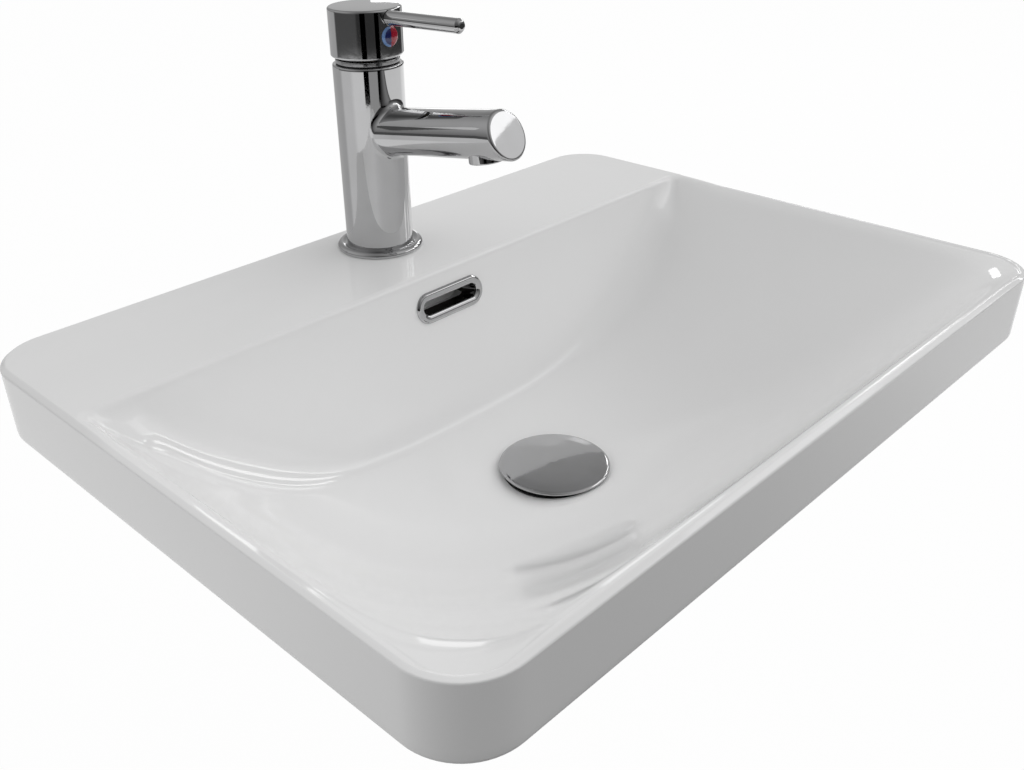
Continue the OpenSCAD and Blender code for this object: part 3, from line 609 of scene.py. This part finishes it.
def top_z(x, y):
    """Height of the glazed top: bowl, back wall and deck, with the edges between them rounded.

    The height is found by halving, between a level below the whole bowl and the rim.
    """
    level = levelness(x, y)
    bowl = bowl_z(x, y)
    out = np.abs(x)
    wider, tighter = smooth_step(out, *CREASE_WIDER_X), smooth_step(out, *CREASE_TIGHTER_X)
    crease_r = CREASE_R + CREASE_WIDER * wider - CREASE_TIGHTER * tighter
    at_deck = smooth_step(y, *DECK_TIGHTER_Y)
    at_side = smooth_step(out, *SIDE_WIDER_X) * (1 - smooth_step(y, *SIDE_WIDER_Y))
    edge_r = EDGE_R - DECK_TIGHTER * at_deck * (1 - smooth_step(out, *DECK_TIGHTER_X))
    edge_r = edge_r + SIDE_WIDER * at_side
    low, high = np.full_like(x, BOWL_Z - 5), np.full_like(x, RIM_Z)
    for _ in range(HALVINGS):
        z = (low + high) / 2
        over_bowl = (z - bowl) * level
        before_wall = (WALL_Y - y - (RIM_Z - z) * tan(WALL_LEAN)) * cos(WALL_LEAN)
        open_by = crease_r - np.hypot(
            np.maximum(crease_r - over_bowl, 0), np.maximum(crease_r - before_wall, 0)
        )
        solid_by = edge_r - np.hypot(
            np.maximum(edge_r + open_by, 0), np.maximum(edge_r - (RIM_Z - z), 0)
        )
        solid = solid_by > 0
        low, high = np.where(solid, z, low), np.where(solid, high, z)
    return (low + high) / 2


def under_z(x, y):
    """Height of the basin's underside."""
    wall = RIM_Z - (WALL_Y + CERAMIC_T / cos(WALL_LEAN) - y) / tan(WALL_LEAN)
    return np.minimum(RIM_Z - CERAMIC_T, np.maximum(bowl_z(x, y, CERAMIC_T), wall))


def crease_y(x):
    """Where the back wall meets the bowl, found by repeated averaging."""
    y = np.full_like(x, WALL_Y - 20.0)
    for _ in range(AVERAGINGS):
        below_rim = RIM_Z - np.minimum(bowl_z(x, y), RIM_Z)
        y = 0.5 * y + 0.5 * (WALL_Y - tan(WALL_LEAN) * below_rim)
    return y


# Basin's grid

# Columns: how far in from the outline those at the sides lie, and how many lie between them.
SIDE_COLUMNS = [0, 0.8, 1.6, 2.2, 2.8, 3.4, 4, 4.7, 5.5, 6.5, 8, 10, 13, 17, 22.4]
MIDDLE_COLUMNS = 112
# Rows: round a corner, over the bowl, at the crease, up the wall, at its edge and on the deck.
ARC_STEPS = 16
FRONT_ROWS, CREASE_ROWS, WALL_ROWS, EDGE_ROWS, DECK_ROWS = 46, 16, 20, 12, 16
BEFORE_CREASE, BEHIND_CREASE = 12, 2.5
BEFORE_EDGE, BEHIND_EDGE = 2.5, 5
LEAST_WALL = 9


def sheet_points(inset):
    """Grid of (x, y) within an inset outline; rows follow the crease and the deck's edge."""
    radius = CORNER_R - inset
    core_x, core_y = HALF_W - CORNER_R, HALF_D - CORNER_R
    turns = [radians(90 * k / ARC_STEPS) for k in range(1, ARC_STEPS + 1)]
    arc = [core_y + radius * sin(turn) for turn in turns]
    rows = FRONT_ROWS + CREASE_ROWS + WALL_ROWS + EDGE_ROWS + DECK_ROWS
    middle = np.linspace(-1, 1, MIDDLE_COLUMNS + 1)
    grid = []
    for j, corner_y in enumerate([-v for v in reversed(arc)] + [None] * (rows + 1) + arc):
        if corner_y is None:
            reach = core_x + radius
        else:
            reach = core_x + sqrt(max(radius**2 - (abs(corner_y) - core_y) ** 2, 0))
        ends = reach - np.array(SIDE_COLUMNS)
        x = np.concatenate([-ends, (middle * ends[-1])[1:-1], ends[::-1]])
        if corner_y is None:
            y = row_y(j - ARC_STEPS, x, core_y)
        else:
            y = np.full_like(x, corner_y)
        grid.append(np.stack([x, y], axis=1))
    return np.array(grid)


def row_y(k, x, core_y):
    """y of one row between the corners, packed closely at the crease and at the deck's edge."""
    edge = np.full_like(x, WALL_Y)
    crease = np.minimum(crease_y(x), edge - LEAST_WALL)
    low, mid, high = crease - BEFORE_CREASE, crease + BEHIND_CREASE, edge - BEFORE_EDGE
    stops = [
        (FRONT_ROWS, np.full_like(x, -core_y), low),
        (CREASE_ROWS, low, mid),
        (WALL_ROWS, mid, high),
        (EDGE_ROWS, high, edge + BEHIND_EDGE),
        (DECK_ROWS, edge + BEHIND_EDGE, np.full_like(x, core_y)),
    ]
    for count, start, end in stops:
        if k <= count:
            return start + (end - start) * k / count
        k -= count
    raise ValueError("no such row")


def on_outline(x, y, inset):
    """The point of the outline at an inset that is nearest to a point of another inset."""
    core_x = np.clip(x, -(HALF_W - CORNER_R), HALF_W - CORNER_R)
    core_y = np.clip(y, -(HALF_D - CORNER_R), HALF_D - CORNER_R)
    away = np.hypot(x - core_x, y - core_y)
    scale = (CORNER_R - inset) / away
    return core_x + (x - core_x) * scale, core_y + (y - core_y) * scale


def rim_loop(rows, columns):
    """Indices of a grid's border, once round."""
    index = np.arange(rows * columns).reshape(rows, columns)
    return np.concatenate([index[0, :-1], index[:-1, -1], index[-1, :0:-1], index[:0:-1, 0]])


def grid_quads(first, rows, columns):
    """Faces of a grid whose points are numbered row by row from a first number."""
    quads = []
    for j in range(rows - 1):
        a = first + j * columns + np.arange(columns - 1)
        quads += np.column_stack([a, a + 1, a + columns + 1, a + columns]).tolist()
    return quads


def ring_quads(first, second):
    """Faces between two closed rings of point numbers."""
    return np.column_stack([first, second, np.roll(second, -1), np.roll(first, -1)]).tolist()


def skirt_profile():
    """(inset, height) pairs from the top sheet over the lip, down the skirt and round its foot."""
    lip = soften([
        (SHEET_INSET, RIM_Z, 0), (LIP_BEVEL_W, RIM_Z, 0.8), (0, RIM_Z - LIP_BEVEL_H, 0.9),
        (0, SKIRT_MIDDLE, 0),
    ], 7)[1:]
    face = [(0, z) for z in np.linspace(SKIRT_MIDDLE, FOOT_ROUND, 5)[1:]]
    turns = [radians(a) for a in range(15, 91, 15)]
    foot = [(FOOT_ROUND * (1 - cos(a)), FOOT_ROUND * (1 - sin(a))) for a in turns]
    inner = [
        (FOOT_FROM, 0), (FOOT_W - 1.5, 0), (FOOT_W - 0.4, 0.4), (FOOT_W, 1.5),
        (FOOT_W, SKIRT_INNER_Z),
    ]
    return lip + face + foot + inner


def basin_shell():
    """The whole ceramic before its holes: top sheet, lip, skirt, foot and underside as one skin.

    The lip's rings sink with the top sheet's border, less and less towards the outline.
    """
    top = sheet_points(SHEET_INSET)
    rows, columns = top.shape[:2]
    xy = top.reshape(-1, 2)
    points = [np.column_stack([xy, top_z(xy[:, 0], xy[:, 1])])]
    quads = grid_quads(0, rows, columns)
    loop = rim_loop(rows, columns)
    border = xy[loop]
    fall = RIM_Z - points[0][loop, 2]
    last, total = loop, len(xy)
    for inset, z in skirt_profile():
        x, y = on_outline(border[:, 0], border[:, 1], inset)
        sunk = fall * min(inset / SHEET_INSET, 1) * (z > SKIRT_MIDDLE)
        points.append(np.column_stack([x, y, z - sunk]))
        ring = total + np.arange(len(loop))
        quads += ring_quads(last, ring)
        last, total = ring, total + len(loop)
    below = sheet_points(FOOT_W).reshape(-1, 2)
    points.append(np.column_stack([below, under_z(below[:, 0], below[:, 1])]))
    quads += [quad[::-1] for quad in grid_quads(total, rows, columns)]
    quads += ring_quads(last, total + loop)
    return skin("basin_shell", (np.concatenate(points) * mm).tolist(), quads)


def basin():
    """The shell with its duct, channel and boss, and the three holes."""
    piece = basin_shell()
    boss = turned("boss", [(WASTE_BOSS_R, -WASTE_BOSS_H, 0), (WASTE_BOSS_R, -3, 0)])
    put(boss, (0, WASTE_Y, BOWL_Z))
    duct = slab("duct", DUCT_SIZE)
    put(duct, OVERFLOW_AT - WALL_OUT * DUCT_BACK - WALL_UP * DUCT_DOWN, WALL_OUT)
    bevelled(duct, DUCT_BEVEL)
    channel = slab("channel", CHANNEL_SIZE)
    put(channel, CHANNEL_AT, CHANNEL_Z_TO)
    bevelled(channel, DUCT_BEVEL)
    for extra in (duct, channel, boss):
        cut(piece, extra, "UNION")
    drain = turned("drain", [
        (DRAIN_R, -60, 0), (DRAIN_R, -DRAIN_SEAT, 0), (DRAIN_SEAT_R, -DRAIN_SEAT, 0),
        (DRAIN_SEAT_R, 12, 0),
    ])
    put(drain, (0, WASTE_Y, BOWL_Z))
    around = 2 * SLEEVE_T + 2 * SLEEVE_GAP
    slot = stadium_bar("slot", SLOT_L + around, SLOT_H + around, 30)
    put(slot, OVERFLOW_AT - WALL_OUT * 8, WALL_OUT)
    tap_hole = turned("tap_hole", [(TAP_HOLE_R, -16, 0), (TAP_HOLE_R, 6, 0)])
    put(tap_hole, (0, TAP_Y, RIM_Z))
    for hole in (drain, slot, tap_hole):
        cut(piece, hole)
    piece.name = piece.data.name = "basin_ceramic"
    finished(piece, "basin", angle=38)


# Overflow ring

def overflow_ring():
    """A rounded rim and a sleeve in the slot: one section that runs round a stadium."""
    rim_w, sleeve_l, steps = 5.8, 13, 28
    section = soften([
        (0, -sleeve_l, 0), (SLEEVE_T, -sleeve_l, 0), (SLEEVE_T, -0.2, 0), (rim_w, -0.2, 0),
        (rim_w, 0.6, 0.5), (rim_w - 1.2, 1.9, 1.2), (rim_w - 3.0, 2.0, 0.8), (0.6, 1.3, 0.8),
        (0, 0.2, 0.8), (0, -sleeve_l, 0),
    ])[:-1]
    straight = (SLOT_L - SLOT_H) / 2
    rings = []
    for side, first in ((1, 0), (-1, pi)):
        for k in range(steps + 1):
            angle = radians(90 - 180 * k / steps) + first
            out = Vector((cos(angle), sin(angle), 0))
            middle = X_AXIS * (side * straight)
            rings.append([middle + out * (SLOT_H / 2 + r) + Z_AXIS * z for r, z in section])
    piece = loft("overflow_trim", rings, closed=True)
    put(piece, OVERFLOW_AT, WALL_OUT)
    finished(piece, "overflow_ring")


# Tap

def tap_column():
    """The column, from its shank in the deck to the recess under the handle."""
    piece = turned("tap_column", [
        (SHANK_R, DECK - 8, 0), (SHANK_R, DECK + 1.5, 0), (COLUMN_R, DECK + 1.5, 0),
        (COLUMN_R, COLUMN_TOP, 1.3), (COLUMN_INNER_R, COLUMN_TOP, 0.6),
        (COLUMN_INNER_R, COLUMN_TOP - 8, 0),
    ], 128)
    put(piece, (0, TAP_Y, 0))
    finished(piece, "tap_body")


def spout_point(radius, angle, along):
    """A point at a radius, a turn and a distance along the spout's axis, in millimetres."""
    across = X_AXIS * cos(angle) + SPOUT_UP * sin(angle)
    return SPOUT_FROM + across * radius + SPOUT_AHEAD * along


def to_column(radius, angle):
    """How far along the spout a line of its skin leaves the column."""
    x = radius * cos(angle)
    back = sqrt(COLUMN_R**2 - x**2) + radius * sin(angle) * sin(SPOUT_RISE)
    return back / cos(SPOUT_RISE)


def spout():
    """A tube whose root swells on to the column and whose end is cut off at a slant."""
    count, steps = 96, 7
    angles = [2 * pi * k / count for k in range(count)]
    lean = tan(SPOUT_END_LEAN - SPOUT_RISE)
    flared = [(a, FLARE_LEAST + FLARE_MORE * abs(sin(a)) ** FLARE_POWER) for a in angles]
    sunk = 2
    rings = [[
        spout_point(SPOUT_R + f, a, to_column(SPOUT_R + f, a) - sunk) for a, f in flared
    ]]
    for k in range(steps + 1):
        t = k / steps
        ring = []
        for a, f in flared:
            on_column = spout_point(SPOUT_R + f, a, to_column(SPOUT_R + f, a))
            corner = spout_point(SPOUT_R, a, to_column(SPOUT_R, a))
            on_tube = spout_point(SPOUT_R, a, to_column(SPOUT_R, a) + f)
            ring.append(on_column * (1 - t) ** 2 + corner * 2 * t * (1 - t) + on_tube * t**2)
        rings.append(ring)
    for along in SPOUT_RINGS:
        rings.append([spout_point(SPOUT_R, a, along) for a in angles])
    end = []
    for k in range(7):
        turn = radians(15 * k)
        radius = SPOUT_R - SPOUT_END_ROUND * (1 - cos(turn))
        end.append((radius, SPOUT_L - SPOUT_END_ROUND * (1 - sin(turn))))
    end += [(SPOUT_R - 3, SPOUT_L + 0.04), (8, SPOUT_L + 0.12), (3, SPOUT_L + 0.18)]
    for radius, along in end:
        rings.append([spout_point(radius, a, along - radius * sin(a) * lean) for a in angles])
    finished(loft("tap_spout", rings), "tap_body")


def aerator():
    """The ring under the spout, with a bevel and a deep mouth."""
    piece = turned("aerator_ring", [
        (AERATOR_R - 2.6, -AERATOR_OUT + 2.2, 0), (AERATOR_R - 2.2, -AERATOR_OUT, 0.5),
        (AERATOR_R, -AERATOR_OUT, 0.7), (AERATOR_R, 6, 0), (AERATOR_R - 1.4, 6, 0),
    ])
    put(piece, SPOUT_FROM + SPOUT_AHEAD * OUTLET_L - SPOUT_UP * SPOUT_R, SPOUT_UP)
    finished(piece, "aerator_housing")


def base_ring():
    """The collar round the foot of the column, highest a little in from its edge."""
    high = box_mm("base_ring")[1]
    radius, top = high.x, high.z
    piece = turned("base_flange", [
        (COLUMN_R - 4, DECK, 0), (radius - 0.4, DECK, 0), (radius, DECK + 0.4, 0.4),
        (radius, top - 1.9, 1.2), (radius - 1.4, top - 0.5, 1.0), (radius - 3.2, top, 1.0),
        (COLUMN_R + 0.9, top - 1.3, 0.8), (COLUMN_R - 1, top - 1.5, 0),
    ], 128)
    put(piece, (0, TAP_Y, 0))
    finished(piece, "base_ring")


def trim_ring():
    """The dull ring in the shade between column and handle, its chrome painted darker as shade."""
    gap_top = HANDLE_LOW.z
    piece = turned("neck_trim", [
        (17.5, COLUMN_TOP - 6, 0), (19.4, COLUMN_TOP - 6, 0), (19.4, COLUMN_TOP + 0.2, 0.4),
        (20.2, COLUMN_TOP + 0.8, 0.4), (20.2, gap_top - 1.4, 0.5), (18.8, gap_top - 0.8, 0),
    ])
    put(piece, (0, TAP_Y, 0))
    # A darker copy of the tap's chrome: painted shade in the gap under the handle.
    finished(piece, "trim_ring", finish=polished_chrome("shaded_chrome", 0.35, 0.12))


def handle():
    """A hollow cap with a slightly domed top, a seat for the indicator and the lever's hole."""
    low, high, inner = HANDLE_LOW.z, HANDLE_HIGH.z, HANDLE_R - HANDLE_WALL
    piece = turned("tap_handle", [
        (BOSS_R, low + BOSS_GAP, 0), (BOSS_R, low + HANDLE_ROOF, 0.5),
        (inner, low + HANDLE_ROOF, 0.5), (inner, low, 0.4),
        (HANDLE_R - 0.9, low, 0.4), (HANDLE_R, low + 0.9, 0.5),
        (HANDLE_R, high - DOME_H - 0.8, 0.7), (HANDLE_R - 0.9, high - DOME_H, 0.5),
        (HANDLE_R - 6, high - DOME_H * 0.45, 3), (HANDLE_R - 14, high - DOME_H * 0.1, 4),
        (2, high, 1), (0, high, 0),
    ], 128)
    put(piece, (0, TAP_Y, 0))
    seat_r, hole_r = BUTTON_R + 0.15, LEVER_R + 0.25
    seat = turned("seat", [(seat_r, -1.2, 0), (seat_r, 4, 0)], 64)
    put(seat, BUTTON_AT, -Y_AXIS)
    cut(piece, seat)
    lever_hole = turned("lever_hole", [(hole_r, -3, 0), (hole_r, 6, 0)], 64)
    put(lever_hole, LEVER_FOOT, LEVER_AHEAD)
    cut(piece, lever_hole)
    finished(piece, "handle")


def lever():
    """A round pin with a bevelled end."""
    length = (LEVER_REACH - HANDLE_R) / cos(LEVER_RISE)
    piece = turned("tap_lever", [
        (LEVER_R - 0.3, -2.5, 0), (LEVER_R, -2.2, 0), (LEVER_R, length - 2.0, 0.5),
        (LEVER_R - 1.5, length - 0.2, 0.5), (LEVER_R - 2.6, length, 0.3), (0, length, 0),
    ], 64)
    put(piece, LEVER_FOOT, LEVER_AHEAD)
    finished(piece, "lever_rod")


def indicator():
    """A round button with a crowned face."""
    piece = turned("indicator_dot", [
        (BUTTON_R, -1.1, 0), (BUTTON_R, 0.0, 0.3), (BUTTON_R - 0.9, 0.55, 0.5),
        (3, 0.95, 1.0), (0, 1.05, 0),
    ], 64)
    put(piece, BUTTON_AT, -Y_AXIS)
    finished(piece, "indicator_button")


# Waste

def waste_cap():
    """The cap with its stem below, a bevelled rim and a slightly crowned top."""
    stem_low, top = CAP_LOW.z, CAP_HIGH.z
    under = BOWL_Z + 4.1
    piece = turned("waste_disc", [
        (6, stem_low, 0.5), (6, under - 3, 0), (25.9, under - 3, 0.4), (25.9, under, 0),
        (CAP_R - 0.6, under, 0.3), (CAP_R, under + 0.6, 0.5), (CAP_R, top - 2.9, 0.9),
        (CAP_R - 1.2, top - 2.0, 0.9), (CAP_R - 9, top - 1.0, 5), (CAP_R - 20, top - 0.3, 6),
        (3, top, 2), (0, top, 0),
    ], 128)
    put(piece, (0, WASTE_Y, 0))
    # A darker, rougher copy of the tap's chrome.
    finished(piece, "waste_cap", finish=polished_chrome("darker_duller_chrome", 0.47, 0.05))


basin()
overflow_ring()
tap_column()
spout()
aerator()
base_ring()
trim_ring()
handle()
lever()
indicator()
waste_cap()

for node, solid in frame["nodes"].items():
    solid.data.materials.clear()
    solid.data.materials.append(FINISHES[SLOT_OF[node]])


# Stage: floor, in metres and degrees

FLOOR_SIZE = 16
FLOOR_Z = BASIN_LOW.z * mm - 0.25
TAP_AT = (0, TAP_Y * mm)
TAP_MIDDLE = Vector((0, TAP_Y * mm, 0.15))
# A dim spot, and dimming to the front and to the left: from, to, level before, level after.
DIM_AT, DIM_SPOT = (-0.25, -0.90), (0.45, 1.35, 0.06, 0.90)
DIM_FRONT = (-1.6, -0.7, 0.10, 1.0)
DIM_LEFT = (-2.2, -1.0, 0.45, 1.0)
# Bands that polished surfaces see, near and far: the distance from the tap over which each
# takes over, its level to start with, and the changes of level as (from, to, change) in degrees.
NEAR_BANDS_FROM, FAR_BANDS_FROM = (0.95, 1.15), (2.52, 2.66)
NEAR_BANDS = 0.42, [
    (-142, -134, 0.50), (-92, -75, -0.16), (-48, -35, -0.23), (26, 42, 0.57), (88, 100, -0.20),
]
FAR_BANDS = 0.025, [
    (-116, -108, 0.06), (-38, -30, 0.445), (18, 26, 0.33), (34, 40, -0.82), (58, 62, 0.43),
    (76, 82, -0.44),
]
GLOWING_SHARE = 0.97


def distance_to(x, y, place):
    across, along = x - place[0], y - place[1]
    return (across * across + along * along).root()


def bands(f, turn, start, changes):
    """A level that changes smoothly, step by step, as a turn in degrees goes up."""
    level = start
    for low, high, change in changes:
        level = f.rise(turn, low, high, 0.0, change) + level
    return level


def studio_floor():
    """A wide pale floor, white to the camera but for the shadow.

    It lights the object less from the front left, and polished surfaces see it in bands.
    """
    floor = primitive("studio_floor", bpy.ops.mesh.primitive_plane_add, size=FLOOR_SIZE)
    floor.location.z = FLOOR_Z
    f = Finish("pale_floor", Roughness=0.9, Base_Color=grey(0.8))
    seen = f.node("LightPath", output="Is Camera Ray")
    polished = f.node("LightPath", output="Is Glossy Ray")
    x, y = f.axis("X"), f.axis("Y")
    lit = f.rise(distance_to(x, y, DIM_AT), *DIM_SPOT) * f.rise(y, *DIM_FRONT)
    lit = lit * f.rise(x, *DIM_LEFT)
    turn = f.node("Math", {0: x - TAP_AT[0], 1: y - TAP_AT[1]}, operation="ARCTAN2") * (180 / pi)
    near, far = bands(f, turn, *NEAR_BANDS), bands(f, turn, *FAR_BANDS)
    reach = distance_to(x, y, TAP_AT)
    shown = near + (far - near) * f.rise(reach, *FAR_BANDS_FROM, 0.0, 1.0)
    mirrored = lit + (shown - lit) * f.rise(reach, *NEAR_BANDS_FROM, 0.0, 1.0)
    strength = seen + (1.0 - seen) * (lit + (mirrored - lit) * polished)
    white = f.node("Emission", {"Color": grey(1), "Strength": strength})
    matt = Value(f, f.shader.outputs[0])
    mixed = f.node("MixShader", {0: GLOWING_SHARE, 1: matt, 2: white})
    f.feed(f.tree.nodes["Material Output"].inputs["Surface"], mixed)
    floor.data.materials.append(f.material)


# Stage: surroundings

# Each soft part of the surroundings: its direction, its narrowness, its strength as daylight
# and its strength as polished metal sees it.
GLOWS = [
    ((0.5, -0.5, 0.7), 4, 1.10, 0.50),
    ((-0.5, 0.5, 0.7), 4, 0.80, 0.45),
    ((0, -0.7, 0.7), 4, 0.50, 0.20),
    ((0.7, 0, 0.7), 4, 0.25, 0.05),
    ((0.70, 0.70, 0.15), 6, 0.90, 0.40),
    ((-0.2, 0.97, 0.17), 6, 0.60, 0.27),
    ((-0.98, 0, 0.17), 4, 0.50, 0.20),
    ((0.59, 0.50, 0.64), 16, 0.0, 0.12),
    ((0.63, 0.74, 0.18), 30, 0.0, 0.18),
]
# Windows: azimuth and elevation in degrees.
WINDOWS = [(-21, 26), (-5, 27), (10, 26), (23, 22)]
WINDOW_SIZE, WINDOW_RADIANCE, WINDOW_DISTANCE = (0.26, 0.8), 4.0, 3.0
BROAD_WINDOW_AT, BROAD_WINDOW_SIZE, BROAD_WINDOW_RADIANCE = (-43, 29), (0.75, 0.8), 1.6
# Cards about the tap: azimuths, elevations and shade.
CARD_DISTANCE = 1.2
CARDS = [
    ("near_shade", (-146, -130), (-14, 10), 0.0),
    ("front_shade", (-102, -88), (-14, 10), 0.0),
    ("end_light", (-55, -28), (21.2, 33), 1.75),
    ("end_shade", (-55, -28), (13, 21.2), 0.9),
    ("spout_shade", (123.5, 130.2), (3, 15), 0.1),
    ("lever_light", (126.5, 132), (15, 22), 0.75),
]


def surroundings():
    """Soft light, brightest from the front right and the back left, and dimmer in reflections."""
    world = bpy.data.worlds.new("studio")
    bpy.context.scene.world = world
    world.use_nodes = True
    w = Nodes(world.node_tree)
    way = w.node("TexCoord", output="Generated")
    glossy = w.node("LightPath", output="Is Glossy Ray")
    total = w.node("Value")
    for direction, narrow, strength, polished in GLOWS:
        pair = {0: way, 1: direction}
        facing = w.node("VectorMath", pair, output="Value", operation="DOT_PRODUCT")
        share = glossy * (polished - strength) + strength
        total = total + facing.maths("MAXIMUM", facing, 0.0) ** narrow * share
    background = w.tree.nodes["Background"].inputs
    w.feed(background["Strength"], total)
    w.feed(background["Color"], grey(1))


def away_from(azimuth, elevation):
    """A direction; azimuth is from +X towards +Y."""
    turn, lift = radians(azimuth), radians(elevation)
    return Vector((cos(turn) * cos(lift), sin(turn) * cos(lift), sin(lift)))


def facing_back(start, away, distance):
    """Place and turn of a pane that looks back at its start."""
    turn = away.to_track_quat("Z", "Y").to_matrix().to_4x4()
    return Matrix.Translation(start + away * distance) @ turn


def window(name, azimuth, elevation, size, radiance):
    """A bright pane that faces the basin."""
    data = bpy.data.lights.new(name, "AREA")
    data.shape = "RECTANGLE"
    data.size, data.size_y = size
    data.energy = radiance * size[0] * size[1] * pi
    pane = bpy.data.objects.new(name, data)
    away = away_from(azimuth, elevation)
    pane.matrix_world = facing_back(Vector((0, 0, 0)), away, WINDOW_DISTANCE)
    bpy.context.collection.objects.link(pane)


def card(name, azimuths, elevations, shade, distance=CARD_DISTANCE, start=TAP_MIDDLE):
    """A plain panel between two azimuths and two elevations, that only polished surfaces see."""
    away = away_from(sum(azimuths) / 2, sum(elevations) / 2)
    width, height = (
        2 * distance * tan(radians(high - low) / 2) for low, high in (azimuths, elevations)
    )
    panel = primitive(name, bpy.ops.mesh.primitive_plane_add, size=1)
    size = Matrix.Diagonal((width, height, 1, 1))
    panel.data.transform(facing_back(start, away, distance) @ size)
    f = Finish(name + "_paint", Roughness=0.8, Base_Color=grey(0), Specular_IOR_Level=0.0)
    f.set("Emission Color", grey(shade))
    f.set("Emission Strength", 1.0)
    panel.data.materials.append(f.material)
    panel.visible_camera = panel.visible_diffuse = False
    panel.visible_shadow = panel.visible_transmission = False


studio_floor()
surroundings()
for i, direction in enumerate(WINDOWS):
    window(f"window_{i}", *direction, WINDOW_SIZE, WINDOW_RADIANCE)
window("broad_window", *BROAD_WINDOW_AT, BROAD_WINDOW_SIZE, BROAD_WINDOW_RADIANCE)
for name, azimuths, elevations, shade in CARDS:
    card(name, azimuths, elevations, shade)
card("lip_light", (42, 52), (0, 12), 1.8, distance=2.5, start=Vector((0, 0, 0)))

bpy.context.scene.view_settings.view_transform = "Standard"
